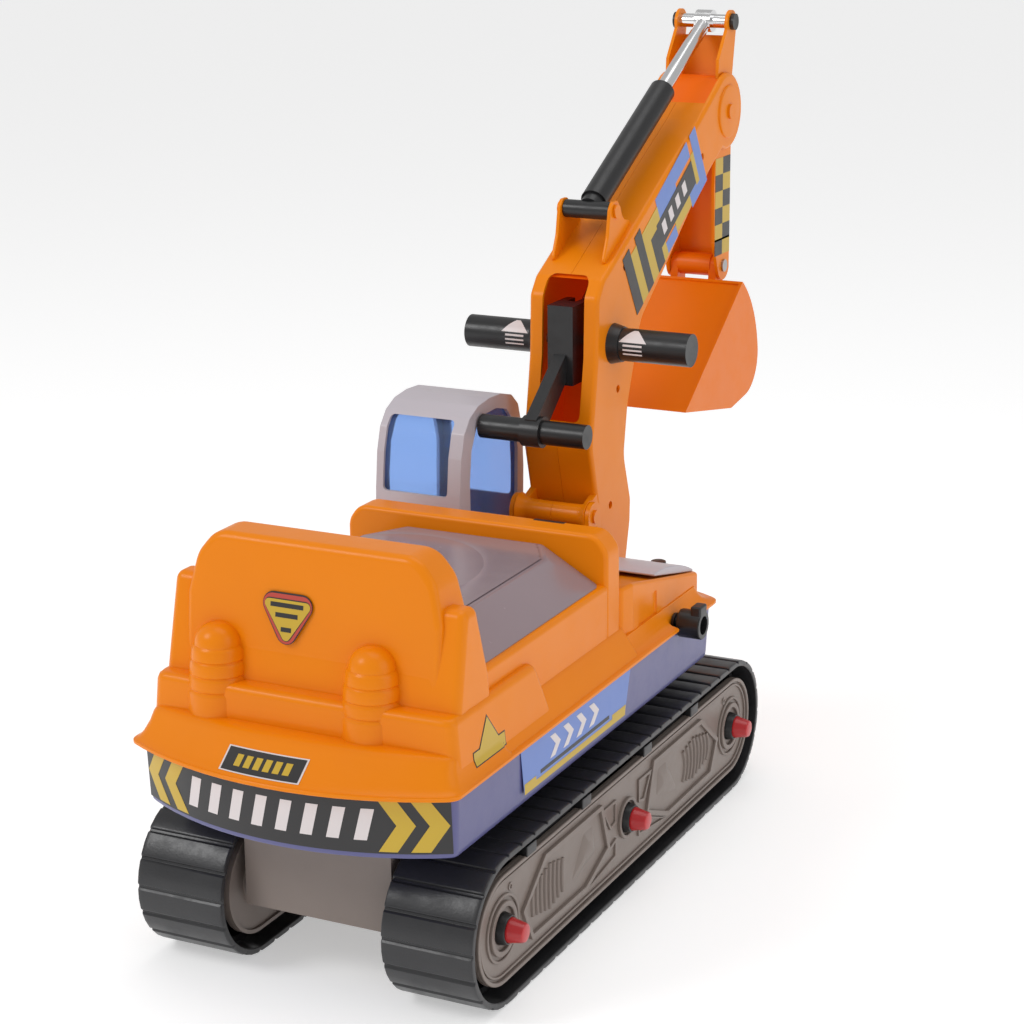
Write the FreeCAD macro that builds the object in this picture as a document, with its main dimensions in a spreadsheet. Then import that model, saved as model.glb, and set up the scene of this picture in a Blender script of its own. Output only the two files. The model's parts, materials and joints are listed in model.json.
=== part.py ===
"""Ride-on toy excavator: tracked undercarriage, slewing house with seat and cab, boom, stick and bucket.

Frame: +Z up, +Y forwards towards the bucket, +X to the driver's right, millimetres.
The origin lies on the ground under the middle of the whole toy; the slew axis is slew_y behind it.
Shapes are drawn about the slew axis, and each sub-part's Placement moves it into this frame.
"""
import FreeCAD, Part
import Sketcher

import math
import os

DRIVING_SIZES = {
    # house and undercarriage placing
    "slew_y": -91.74, "wall": 3, "fit_gap": 0.05, "free_gap": 0.4,
    # tracks
    "hub_pitch": 230, "hub_height": 60.7, "belt_radius": 60.7, "belt_inner_x": 69, "belt_outer_x": 145.5,
    "belt_band": 3.2, "lug_height": 2.2, "lug_length": 20,
    "cover_radius": 44, "cover_thick": 7, "cover_recess": 3, "wheel_radius": 54.6, "wheel_width": 36,
    "axle_radius": 4, "axle_reach": 147, "cap_radius": 9.5, "cap_tip_radius": 7, "cap_tip_x": 160,
    "chassis_half": 64, "chassis_end": 262, "chassis_low": 54, "chassis_top": 127, "turntable_radius": 70,
    "turntable_top": 134, "post_radius": 8,
    # house
    "tray_half": 133.5, "tray_low": 137, "tray_top": 187, "house_rear": 288, "rear_bow": 36,
    "house_front": 198, "front_bow": 38, "lip_half": 139, "lip_rear": 297, "lip_thick": 3,
    "ledge_low_half": 129, "ledge_low_top": 214, "ledge_low_rear": 283, "ledge_bow": 17,
    "ledge_high_half": 127, "ledge_high_top": 240, "ledge_high_rear": 279,
    "shoulder_half": 125, "shoulder_top": 314, "back_half": 107, "back_top_half": 88, "back_top": 349,
    "side_half": 120, "side_top": 257, "hoop_rear": 5, "hoop_front": 30, "hoop_top": 298,
    "hoop_top_half": 110,
    "fender_half": 123, "fender_top": 246, "fender_rear": 48, "fender_slope_y": 60, "fender_fall": 0.235,
    "trough_half": 41, "cab_fender_half": 135,
    "seat_half": 116, "seat_top_half": 84, "seat_top": 287, "seat_rear": -214,
    "cab_left": -135, "cab_right": -51.5, "cab_wall": 3, "glazing": 1.2,
    "deck_rear": 108, "deck_front": 194, "deck_edge": 2.5, "deck_crown": 8, "plug_radius": 7,
    "knob_y": 128, "knob_z": 190, "knob_radius": 12.5, "knob_stem_radius": 5, "knob_tip_x": 155,
    # digging arm
    "boom_half": 33, "boom_hinge_y": 160, "boom_hinge_z": 264, "boom_sleeve": 10,
    "lever_y": 212, "lever_z": 408, "bar_y": 119.6, "bar_z": 346.4, "bar_radius": 10.5, "bar_half": 50,
    "peg_radius": 14.5, "peg_tip": 107, "peg_shaft_radius": 5, "peg_shaft_reach": 73, "pin_radius": 4,
    "screw_head_radius": 3.4, "screw_radius": 1.6, "screw_length": 16, "slot_half": 20, "fork_half": 28.5,
    "stick_y": 480, "stick_z": 580, "boom_end_radius": 36.5, "stick_half": 27,
    "link_dy": -4, "link_dz": 24, "link_radius": 3,
    "ram_y": 232, "ram_z": 521, "top_pin_y": 501, "top_pin_z": 662, "barrel_radius": 12, "barrel_length": 185,
    "barrel_bore": 8.9, "ram_rod_radius": 7.2, "ram_rod_length": 220, "top_pin_radius": 6.5,
    "ram_eye_half": 8,
    "bucket_half": 60, "bucket_y": 487, "bucket_z": 430,
}


class Size:
    """A length together with the spreadsheet formula that gives it."""

    def __init__(self, number, formula):
        self.number = float(number)
        self.formula = formula

    def join(self, other, sign, number, other_first=False):
        text = other.formula if isinstance(other, Size) else repr(float(other))
        first, second = (text, self.formula) if other_first else (self.formula, text)
        return Size(number, f"({first} {sign} {second})")

    def __add__(self, other):
        return self.join(other, "+", self.number + float(other))

    def __sub__(self, other):
        return self.join(other, "-", self.number - float(other))

    def __mul__(self, other):
        return self.join(other, "*", self.number * float(other))

    def __truediv__(self, other):
        return self.join(other, "/", self.number / float(other))

    def __rsub__(self, other):
        return self.join(other, "-", float(other) - self.number, other_first=True)

    def __neg__(self):
        return Size(-self.number, f"(0 - {self.formula})")

    def __float__(self):
        return self.number

    __radd__ = __add__
    __rmul__ = __mul__


doc = FreeCAD.newDocument("toy_excavator")
sheet = doc.addObject("Spreadsheet::Sheet", "Sizes")


class Sizes:
    """The driving sizes by name, each bound to its cell."""


S = Sizes()
for row, (alias, number) in enumerate(DRIVING_SIZES.items(), start=1):
    sheet.set(f"A{row}", alias)
    sheet.set(f"B{row}", str(number))
    sheet.setAlias(f"B{row}", alias)
    setattr(S, alias, Size(number, f"Sizes.{alias}"))
doc.recompute()

nodes = []
AXES = {"X": FreeCAD.Vector(1, 0, 0), "Y": FreeCAD.Vector(0, 1, 0), "Z": FreeCAD.Vector(0, 0, 1)}
TURN_TO = {
    "X": FreeCAD.Rotation(AXES["Y"], 90),
    "Y": FreeCAD.Rotation(AXES["X"], -90),
    "Z": FreeCAD.Rotation(),
}


def bind(thing, place, size):
    """Sets a property by its path to a plain number, or to a formula on the sheet."""
    if isinstance(size, Size):
        thing.setExpression(place, size.formula)
    else:
        thing.setExpression(place, repr(float(size)))


def move_to(thing, x, y, z):
    for letter, size in zip("xyz", (x, y, z)):
        bind(thing, f"Placement.Base.{letter}", size)


def box(name, x, y, z):
    """A block from (low, high) pairs."""
    block = doc.addObject("Part::Box", name)
    for side, (low, high) in zip(("Length", "Width", "Height"), (x, y, z)):
        bind(block, side, high - low)
    move_to(block, x[0], y[0], z[0])
    return block


def rod(name, axis, radius, span, centre):
    """A round bar along X, Y or Z between two positions, at the centre given by its other two positions."""
    bar = doc.addObject("Part::Cylinder", name)
    bind(bar, "Radius", radius)
    bind(bar, "Height", span[1] - span[0])
    bar.Placement = FreeCAD.Placement(FreeCAD.Vector(), TURN_TO[axis])
    place = list(centre)
    place.insert("XYZ".index(axis), span[0])
    move_to(bar, *place)
    return bar


def cone(name, radii, span, centre):
    """A tapered round bar along X."""
    bar = doc.addObject("Part::Cone", name)
    bind(bar, "Radius1", radii[0])
    bind(bar, "Radius2", radii[1])
    bind(bar, "Height", span[1] - span[0])
    bar.Placement = FreeCAD.Placement(FreeCAD.Vector(), TURN_TO["X"])
    move_to(bar, span[0], *centre)
    return bar


def join(name, pieces):
    fused = doc.addObject("Part::MultiFuse", name)
    fused.Shapes = pieces
    return fused


def cut(name, base, tools):
    result = doc.addObject("Part::Cut", name)
    result.Base = base
    result.Tool = tools[0] if len(tools) == 1 else join(f"{name}_tools", tools)
    return result


def mirrored(name, source):
    """The left-hand copy of a right-hand shape."""
    copy = doc.addObject("Part::Mirroring", name)
    copy.Source = source
    copy.Normal = AXES["X"]
    return copy


class Via:
    """A point that the arc between its two neighbours in an outline passes through."""

    def __init__(self, across, up):
        self.point = (across, up)


def draw_outline(sketch, steps):
    """Draws a closed outline of lines and arcs; each corner's place is bound to the sheet."""
    corners = [step for step in steps if not isinstance(step, Via)]
    corner = 0
    ends = []
    for step, following in zip(steps, steps[1:] + steps[:1]):
        if isinstance(step, Via):
            continue
        start = FreeCAD.Vector(float(step[0]), float(step[1]), 0)
        after = corners[(corner + 1) % len(corners)]
        finish = FreeCAD.Vector(float(after[0]), float(after[1]), 0)
        if isinstance(following, Via):
            middle = FreeCAD.Vector(float(following.point[0]), float(following.point[1]), 0)
            forwards = (middle - start).cross(finish - middle).z > 0
            arc = Part.Arc(start, middle, finish) if forwards else Part.Arc(finish, middle, start)
            index = sketch.addGeometry(arc)
        else:
            index = sketch.addGeometry(Part.LineSegment(start, finish))
            forwards = True
        ends.append((index, 1 if forwards else 2, 2 if forwards else 1))
        corner += 1
    for here, (index, first, last) in enumerate(ends):
        next_index, next_first, _ = ends[(here + 1) % len(ends)]
        sketch.addConstraint(Sketcher.Constraint("Coincident", index, last, next_index, next_first))
        for kind, size in zip(("DistanceX", "DistanceY"), corners[here]):
            number = sketch.addConstraint(Sketcher.Constraint(kind, -1, 1, index, first, float(size)))
            if isinstance(size, Size):
                sketch.setExpression(f"Constraints[{number}]", size.formula)


PLANES = {"X": "YZ_Plane", "Y": "XZ_Plane", "Z": "XY_Plane"}
outline_levels = {}


def prism(name, axis, steps, span):
    """A body padded from an outline, between two positions along X or Z."""
    body = doc.addObject("PartDesign::Body", name)
    sketch = body.newObject("Sketcher::SketchObject", f"{name}_outline")
    plane = next(part for part in body.Origin.OriginFeatures if part.Role == PLANES[axis])
    sketch.AttachmentSupport = [(plane, "")]
    sketch.MapMode = "FlatFace"
    bind(sketch, "AttachmentOffset.Base.z", span[0])
    outline_levels[body.Name] = span[0]
    draw_outline(sketch, steps)
    pad = body.newObject("PartDesign::Pad", f"{name}_pad")
    pad.Profile = sketch
    bind(pad, "Length", span[1] - span[0])
    body.Tip = pad
    return body


def inner_core(name, body, wall, direction, span):
    """The space inside a prism: its outline drawn in by a wall, over a span of its own."""
    sketch = body.Tip.Profile[0]
    inside = doc.addObject("Part::Offset2D", f"{name}_outline")
    inside.Source = sketch
    inside.Join = "Intersection"
    bind(inside, "Value", -wall)
    core = doc.addObject("Part::Extrusion", name)
    core.Base = inside
    core.DirMode = "Custom"
    core.Dir = AXES[direction]
    core.Solid = True
    bind(core, "LengthFwd", span[1] - span[0])
    bind(core, f"Placement.Base.{direction.lower()}", span[0] - outline_levels[body.Name])
    return core


def node(shape, label):
    """Names a finished sub-part and moves it from the slew axis into the toy's frame."""
    shape.Label = label
    if shape.TypeId != "Part::Mirroring":
        bind(shape, "Placement.Base.y", S.slew_y)
    nodes.append(shape)
    return shape


def loose(name, pieces):
    """Separate solids of one kind, kept together without joining them."""
    together = doc.addObject("Part::Compound", name)
    together.Links = pieces
    return together


# ---------------------------------------------------------------- undercarriage

HUBS = {"rear": -S.hub_pitch, "middle": 0, "front": S.hub_pitch}


def stadium(name, radius, span):
    """The long round-ended outline that every track piece shares, between two X positions."""
    low, high = S.hub_height - radius, S.hub_height + radius
    return prism(name, "X", [
        (-S.hub_pitch, low), (S.hub_pitch, low),
        Via(S.hub_pitch + radius, S.hub_height), (S.hub_pitch, high),
        (-S.hub_pitch, high), Via(-S.hub_pitch - radius, S.hub_height),
    ], span)


def belt_lugs(count_on_run=20, count_on_end=8):
    """Flat cross bars on the outside of the track belt, along both runs and round both ends."""
    length, height = S.lug_length, S.lug_height + S.belt_band / 2
    places = []
    run = 2 * float(S.hub_pitch)
    for number in range(count_on_run):
        along = (number + 0.5) / count_on_run * run - run / 2
        places += [(along, 0, 180), (along, 0, 0)]
    for number in range(count_on_end):
        turn = (number + 0.5) / count_on_end * 180
        places += [(run / 2, turn, None), (-run / 2, -turn, None)]
    lugs = []
    for number, (along, turn, side) in enumerate(places):
        lug = doc.addObject("Part::Box", f"belt_lug_{number}")
        bind(lug, "Length", S.belt_outer_x - S.belt_inner_x)
        bind(lug, "Width", length)
        bind(lug, "Height", height)
        angle = turn if side is None else side
        turned = FreeCAD.Rotation(AXES["X"], -angle)
        reach = float(S.belt_radius)
        if side is None:
            reach = math.sqrt(reach ** 2 - (float(length) / 2) ** 2)
        inner = reach - float(height)
        corner = turned.multVec(FreeCAD.Vector(0, -float(length) / 2, inner))
        place = FreeCAD.Vector(float(S.belt_inner_x), along + corner.y, float(S.hub_height) + corner.z)
        lug.Placement = FreeCAD.Placement(place, turned)
        lugs.append(lug)
    return lugs


track_span = (S.belt_inner_x, S.belt_outer_x)
band_radius = S.belt_radius - S.lug_height
band = cut(
    "belt_band",
    stadium("belt_band_outer", band_radius, track_span),
    [stadium("belt_band_inner", band_radius - S.belt_band, (S.belt_inner_x - 1, S.belt_outer_x + 1))],
)
belt = join("belt", [band] + belt_lugs())
node(mirrored("belt_copy", belt), "belt_left")
node(belt, "belt_right")


def cover(name, span, open_to):
    """A dished cover plate that closes one side of a track, with a raised rim and three hub rings."""
    plate = stadium(f"{name}_plate", S.cover_radius, span)
    dish = [stadium(f"{name}_dish", S.cover_radius - S.wall, open_to)]
    rings = []
    bores = []
    for place, hub in HUBS.items():
        centre = (hub, S.hub_height)
        rings.append(rod(f"{name}_ring_{place}", "X", S.cap_radius + 12, span, centre))
        bores.append(rod(f"{name}_bore_{place}", "X", S.axle_radius + S.fit_gap,
                         (span[0] - 1, span[1] + 1), centre))
    return cut(name, join(f"{name}_body", [cut(f"{name}_shell", plate, dish)] + rings), bores)


outer_face = S.belt_outer_x - S.cover_recess
outer_cover = cover("outer_cover", (outer_face - S.cover_thick, outer_face), (outer_face - 2, outer_face + 1))
inner_face = S.belt_inner_x + S.cover_recess
inner_cover = cover("inner_cover", (inner_face, inner_face + S.cover_thick), (inner_face - 1, inner_face + 2))
for side_cover, label in ((outer_cover, "outer_cover"), (inner_cover, "inner_cover")):
    node(mirrored(f"{label}_copy", side_cover), f"{label}_left")
    node(side_cover, f"{label}_right")

chassis_outer = box(
    "chassis_outer", (-S.chassis_half, S.chassis_half), (-S.chassis_end, S.chassis_end),
    (S.chassis_low, S.chassis_top),
)
chassis_inner = box(
    "chassis_inner", (S.wall - S.chassis_half, S.chassis_half - S.wall),
    (S.wall - S.chassis_end, S.chassis_end - S.wall), (S.chassis_low - 1, S.chassis_top - S.wall),
)
turntable = rod("turntable", "Z", S.turntable_radius, (S.chassis_top - S.wall, S.turntable_top), (0, 0))
chassis_holes = [
    rod(f"chassis_bore_{place}", "X", S.axle_radius + S.fit_gap, (-S.turntable_radius, S.turntable_radius),
        (hub, S.hub_height))
    for place, hub in HUBS.items()
]
chassis_holes.append(
    rod("post_seat", "Z", S.post_radius + S.fit_gap, (S.chassis_top - 10, S.turntable_top + 1), (0, 0))
)
chassis = cut(
    "chassis", join("chassis_body", [cut("chassis_shell", chassis_outer, [chassis_inner]), turntable]),
    chassis_holes,
)
node(chassis, "chassis_frame")

post_head = rod("post_head", "Z", S.post_radius + 10, (S.tray_low + S.wall + S.free_gap, S.tray_low + 8),
                (0, 0))
post_shank = rod("post_shank", "Z", S.post_radius, (S.chassis_top - S.wall, S.tray_low + 7), (0, 0))
node(join("post", [post_shank, post_head]), "slew_post")

for place, hub in HUBS.items():
    axle = rod(f"{place}_axle", "X", S.axle_radius, (-S.axle_reach, S.axle_reach), (hub, S.hub_height))
    node(join(f"{place}_axle_body", [axle, rod(f"{place}_collar", "X", S.axle_radius + 3, (-4, 4),
                                               (hub, S.hub_height))]), f"axle_{place}")


def hub_cap(place, hub):
    """A soft red push-on cap over an axle's end."""
    centre = (hub, S.hub_height)
    seat = outer_face + S.free_gap
    body = cone(f"cap_{place}", (S.cap_radius, S.cap_tip_radius), (seat, S.cap_tip_x), centre)
    bore = rod(f"cap_bore_{place}", "X", S.axle_radius + S.fit_gap, (seat - 1, S.axle_reach + 1), centre)
    return cut(f"cap_{place}_body", body, [bore])


caps = loose("caps", [hub_cap(place, hub) for place, hub in HUBS.items()])
node(mirrored("caps_copy", caps), "hub_caps_left")
node(caps, "hub_caps_right")


def road_wheel(side, place, hub):
    """A moulded wheel that rolls inside the belt: rim, web and hub."""
    name = f"wheel_{side}_{place}"
    middle = (inner_face + S.cover_thick + outer_face - S.cover_thick) / 2
    low, high = middle - S.wheel_width / 2, middle + S.wheel_width / 2
    if side == "left":
        low, high = -high, -low
    centre = (hub, S.hub_height)
    tyre = rod(f"{name}_tyre", "X", S.wheel_radius, (low, high), centre)
    hollows = []
    for end, (start, stop) in {"in": (low - 1, low + 14), "out": (high - 14, high + 1)}.items():
        ring = rod(f"{name}_{end}_ring", "X", S.wheel_radius - 5, (start, stop), centre)
        hub_left = rod(f"{name}_{end}_hub", "X", 12, (start, stop), centre)
        hollows.append(cut(f"{name}_{end}_hollow", ring, [hub_left]))
    bore = rod(f"{name}_bore", "X", S.axle_radius + S.fit_gap, (low - 1, high + 1), centre)
    return node(cut(f"{name}_body", tyre, hollows + [bore]), name)


for side in ("left", "right"):
    for place, hub in HUBS.items():
        road_wheel(side, place, hub)


def track_guides():
    """Black blocks that hold the belt's top run up between the wheels."""
    blocks = []
    for name, (start, stop) in {"rear": (-168, -62), "front": (62, 168)}.items():
        blocks.append(box(f"guide_{name}", (inner_face + S.cover_thick, outer_face - S.cover_thick),
                          (start, stop), (98, band_radius * 2 - 7)))
    return blocks


guides = loose("guides", track_guides())
node(mirrored("guides_copy", guides), "track_guides_left")
node(guides, "track_guides_right")

# ---------------------------------------------------------------- house


def bowed_plan(name, half, rear, rear_bow, front, front_bow, span):
    """A plate seen from above: straight sides, and ends that bow outwards."""
    return prism(name, "Z", [
        (half, -rear), (half, front), Via(0, front + front_bow), (-half, front),
        (-half, -rear), Via(0, -rear - rear_bow),
    ], span)


tray_outer = bowed_plan("tray_outer", S.tray_half, S.house_rear, S.rear_bow, S.house_front, S.front_bow,
                        (S.tray_low, S.tray_top))
tray_inner = bowed_plan("tray_inner", S.tray_half - S.wall, S.house_rear - S.wall, S.rear_bow,
                        S.house_front - S.wall, S.front_bow, (S.tray_low + S.wall, S.tray_top + 1))
tray_bore = rod("tray_bore", "Z", S.post_radius + S.fit_gap, (S.tray_low - 1, S.tray_low + 5), (0, 0))
knob_centre = (S.knob_y, S.knob_z)
knob_notch = rod("knob_notch", "X", S.knob_stem_radius + S.fit_gap,
                 (S.tray_half - S.wall - 1, S.tray_half + 1), knob_centre)
node(cut("tray_body", tray_outer, [tray_inner, tray_bore, knob_notch]), "tray")

ring_outer = rod("ring_outer", "Z", S.turntable_radius, (S.turntable_top + S.free_gap, S.tray_low), (0, 0))
ring_inner = rod("ring_inner", "Z", S.turntable_radius - 12, (S.turntable_top, S.tray_low + 1), (0, 0))
node(cut("ring_body", ring_outer, [ring_inner]), "turntable_ring")


def fender_level(y):
    """The height of the sloping fender tops at a place along the toy."""
    return S.fender_top - S.fender_fall * (y - S.fender_slope_y)


def house_blocks(name, inset, floor):
    """The stepped blocks of the orange shell, all from one floor up, each drawn in by an inset."""
    low_rear = bowed_plan(f"{name}_ledge_low", S.ledge_low_half - inset, S.ledge_low_rear - inset,
                          S.ledge_bow, -222 - inset, 0.01, (floor, S.ledge_low_top - inset))
    high_rear = box(f"{name}_ledge_high", (inset - S.ledge_high_half, S.ledge_high_half - inset),
                    (inset - S.ledge_high_rear, -222 - inset), (floor, S.ledge_high_top - inset))
    shoulder = prism(f"{name}_shoulder", "X", [
        (-267 + inset, floor), (-206 - inset, floor), (-214 - inset, S.side_top - inset),
        (-232 - inset, S.shoulder_top - inset), (-249 + inset, S.shoulder_top - inset),
    ], (inset - S.shoulder_half, S.shoulder_half - inset))
    back = prism(f"{name}_back", "Y", [
        (inset - S.back_half, floor), (S.back_half - inset, floor), (S.back_half - inset, S.shoulder_top),
        (S.back_top_half - inset, S.back_top - inset), (inset - S.back_top_half, S.back_top - inset),
        (inset - S.back_half, S.shoulder_top),
    ], (212 + inset, 252 - inset))
    middle = box(f"{name}_middle", (inset - S.side_half, S.side_half - inset),
                 (inset - 225, S.hoop_front - inset), (floor, S.side_top - inset))
    hoop = prism(f"{name}_hoop", "Y", [
        (inset - S.side_half, floor), (S.side_half - inset, floor), (S.side_half - inset, S.hoop_top - 14),
        (S.hoop_top_half - inset, S.hoop_top - inset), (inset - S.hoop_top_half, S.hoop_top - inset),
        (inset - S.side_half, S.hoop_top - 14),
    ], (inset - S.hoop_front, -S.hoop_rear - inset))
    right_fender = prism(f"{name}_right_fender", "Z", [
        (S.trough_half + inset, S.hoop_front - inset), (S.fender_half - inset, S.fender_rear + inset),
        (S.fender_half - inset, S.house_front - inset), (S.trough_half + inset, S.house_front + 33 - inset),
    ], (floor, S.fender_top - inset))
    left_fender = prism(f"{name}_left_fender", "Z", [
        (-S.trough_half - inset, S.hoop_front - inset), (-S.trough_half - inset, S.house_front + 33 - inset),
        (inset - S.cab_fender_half, S.house_front - inset), (inset - S.cab_fender_half,
                                                             S.fender_rear + inset),
    ], (floor, S.fender_top - inset))
    slope = prism(f"{name}_slope", "X", [
        (S.fender_slope_y, S.fender_top - inset), (260, fender_level(260) - inset), (260, S.hoop_top),
        (S.fender_slope_y, S.hoop_top),
    ], (-150, 150))
    fenders = cut(f"{name}_fenders", join(f"{name}_fender_blocks", [right_fender, left_fender]), [slope])
    return [low_rear, high_rear, shoulder, back, middle, hoop, fenders]


lip = bowed_plan("lip", S.lip_half, S.lip_rear, S.rear_bow, S.house_front + 3, S.front_bow,
                 (S.tray_top, S.tray_top + S.lip_thick))
shell_outer = join("shell_outer", [lip] + house_blocks("outer", 0, S.tray_top))
trough = box("trough", (-S.trough_half, S.trough_half), (S.hoop_front, S.house_front + 60),
             (S.tray_top - 1, S.fender_top + 1))
knob_arch = rod("knob_arch", "X", 22, (S.fender_half + 4, S.lip_half + 1), (S.knob_y, S.knob_z + 4))
shell = cut("shell", shell_outer, house_blocks("inner", S.wall, S.tray_top - 1) + [trough, knob_arch])


def reflector_dome(name, x):
    """A round-topped pillar moulded on the back wall."""
    pillar = rod(f"{name}_pillar", "Z", 25, (S.ledge_low_top - 1, 259), (x, -264))
    crown = doc.addObject("Part::Sphere", f"{name}_crown")
    bind(crown, "Radius", 22)
    move_to(crown, x, -264, 259)
    room = box(f"{name}_room", (x - 30, x + 30), (-266, -190), (200, 300))
    return cut(f"{name}_body", join(f"{name}_solid", [pillar, crown]), [room])


domes = [reflector_dome("left_dome", -78), reflector_dome("right_dome", 54)]
node(join("shell_with_domes", [shell] + domes), "body_shell")


def seat_block(name, inset, floor):
    """The sloped-sided seat moulding, as a wedge."""
    block = doc.addObject("Part::Wedge", name)
    limits = {
        "Xmin": inset - S.seat_half, "Xmax": S.seat_half - inset, "X2min": inset - S.seat_top_half,
        "X2max": S.seat_top_half - inset, "Ymin": floor, "Ymax": S.seat_top - inset,
        "Zmin": inset - S.hoop_rear, "Zmax": -S.seat_rear - 24 - inset,
        "Z2min": inset - S.hoop_rear, "Z2max": -S.seat_rear - 24 - inset,
    }
    for side, size in limits.items():
        bind(block, side, size)
    block.Placement = FreeCAD.Placement(FreeCAD.Vector(), FreeCAD.Rotation(AXES["X"], 90))
    return block


seat = cut("seat_body", seat_block("seat_outer", 0, S.side_top),
           [seat_block("seat_inner", S.wall, S.side_top - 1)])
node(seat, "seat")

cab_profile = [
    (78, fender_level(78)), (82, 310), (88, 341), (100, 357), (118, 365), (140, 367), (165, 365), (187, 357),
    (200, 338), (204, 300), (199, fender_level(199)),
]
cab_outer = prism("cab_outer", "X", cab_profile[::-1], (S.cab_left, S.cab_right))
cab_inner = inner_core("cab_inner", cab_outer, S.cab_wall, "X",
                       (S.cab_left + S.cab_wall, S.cab_right - S.cab_wall))
rear_window = box("rear_window", (S.cab_left + 11, S.cab_right - 11), (60, 112), (290, 354))
front_window = box("front_window", (S.cab_left + 11, S.cab_right - 11), (180, 215), (262, 336))
side_window = prism("side_window", "X", [
    (99, 252), (190, 252), (190, 322), Via(182, 346), (160, 354), (132, 354), Via(108, 346), (98, 320),
], (S.cab_left - 1, S.cab_right + 1))
node(cut("cab_body", cab_outer, [cab_inner, rear_window, front_window, side_window]), "cab_shell")
glazing_outer = inner_core("glazing_outer", cab_outer, S.cab_wall + S.free_gap, "X",
                           (S.cab_left + S.cab_wall + S.free_gap, S.cab_right - S.cab_wall - S.free_gap))
glazing_inset = S.cab_wall + S.free_gap + S.glazing
glazing_inner = inner_core("glazing_inner", cab_outer, glazing_inset, "X",
                           (S.cab_left + glazing_inset, S.cab_right - glazing_inset))
node(cut("glazing_body", glazing_outer, [glazing_inner]), "cab_glazing")

deck = prism("deck_plate_body", "X", [
    (S.deck_rear, fender_level(108)), (S.deck_front, fender_level(194)),
    (S.deck_front, fender_level(194) + S.deck_edge), Via(151, fender_level(151) + S.deck_crown),
    (S.deck_rear, fender_level(108) + S.deck_edge),
], (S.trough_half + 4, S.fender_half - 5))
plug_centre = (94, 172)
plug_hole = rod("plug_hole", "Z", S.plug_radius + S.fit_gap, (S.fender_top - 40, S.fender_top), plug_centre)
node(cut("deck_body", deck, [plug_hole]), "deck_plate")
plug = rod("plug_body", "Z", S.plug_radius, (fender_level(165), fender_level(165) + S.deck_crown),
           plug_centre)
node(loose("plug", [plug]), "deck_plug")

knob_base = S.tray_half + S.free_gap
knob_drum = rod("knob_drum", "X", S.knob_radius, (knob_base, S.knob_tip_x), knob_centre)
knob_tab = box("knob_tab", (S.knob_tip_x - 10, S.knob_tip_x), (S.knob_y - 9, S.knob_y + 9),
               (S.knob_z - 8, S.knob_z + 18))
knob_hollow = rod("knob_hollow", "X", S.knob_radius - 5, (knob_base + 6, S.knob_tip_x + 1), knob_centre)
flange_inner = S.tray_half - S.wall - S.free_gap - 2.5
knob_stem = rod("knob_stem", "X", S.knob_stem_radius, (flange_inner, knob_base + 1), knob_centre)
knob_flange = rod("knob_flange", "X", 8, (flange_inner, flange_inner + 2.5), knob_centre)
knob_solid = join("knob_solid", [knob_drum, knob_tab, knob_stem, knob_flange])
node(cut("knob_body", knob_solid, [knob_hollow]), "knob")

# ---------------------------------------------------------------- boom foot

hinge = (S.boom_hinge_y, S.boom_hinge_z)
cheek_in = S.boom_half + 1.5


def bracket_cheek(name, span):
    """An upright cheek plate with a round top that holds the boom's foot pin."""
    return prism(name, "X", [
        (S.boom_hinge_y - 13, S.tray_low + S.wall), (S.boom_hinge_y + 30, S.tray_low + S.wall),
        (S.boom_hinge_y + 13, S.boom_hinge_z), Via(S.boom_hinge_y, S.boom_hinge_z + 13),
        (S.boom_hinge_y - 13, S.boom_hinge_z),
    ], span)


bracket_foot = box("bracket_foot", (-cheek_in - 4, cheek_in + 4), (S.boom_hinge_y - 13, S.boom_hinge_y + 30),
                   (S.tray_low + S.wall, S.tray_low + S.wall + 4))
bracket_bore = rod("bracket_bore", "X", S.pin_radius + S.fit_gap, (-cheek_in - 5, cheek_in + 5), hinge)
node(cut("bracket_body", join("bracket_solid", [
    bracket_cheek("right_cheek", (cheek_in, cheek_in + 4)),
    bracket_cheek("left_cheek", (-cheek_in - 4, -cheek_in)), bracket_foot,
]), [bracket_bore]), "boom_bracket")


def pin(label, centre, reach, radius=None, head=6):
    """A steel pin along X with a domed cap at each end."""
    radius = radius or S.pin_radius
    shank = rod(f"{label}_shank", "X", radius, (-reach, reach), centre)
    heads = [rod(f"{label}_head_{side}", "X", head, span, centre)
             for side, span in (("right", (reach, reach + 2)), ("left", (-reach - 2, -reach)))]
    return node(join(f"{label}_body", [shank] + heads), label)


pin("boom_foot_pin", hinge, cheek_in + 4 + S.fit_gap)

# ---------------------------------------------------------------- boom

boom_profile = [
    (241, 193), (252, 236), (253, 257), (238, 301), (246, 345), (275, 417), (323, 450), (403, 509),
    (440, 531),
    (467.5, 545.7), Via(S.stick_y + S.boom_end_radius, S.stick_z), (459.1, 609.9), (408, 580), (342, 547),
    (191, 468), (179, 453), (177, 400), (164, 323), (177, 274), (185, 244), (185, 193),
]
SCREW_PLACES = [(206, 262), (222, 365), (236, 472), (330, 500), (415, 545)]


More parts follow.
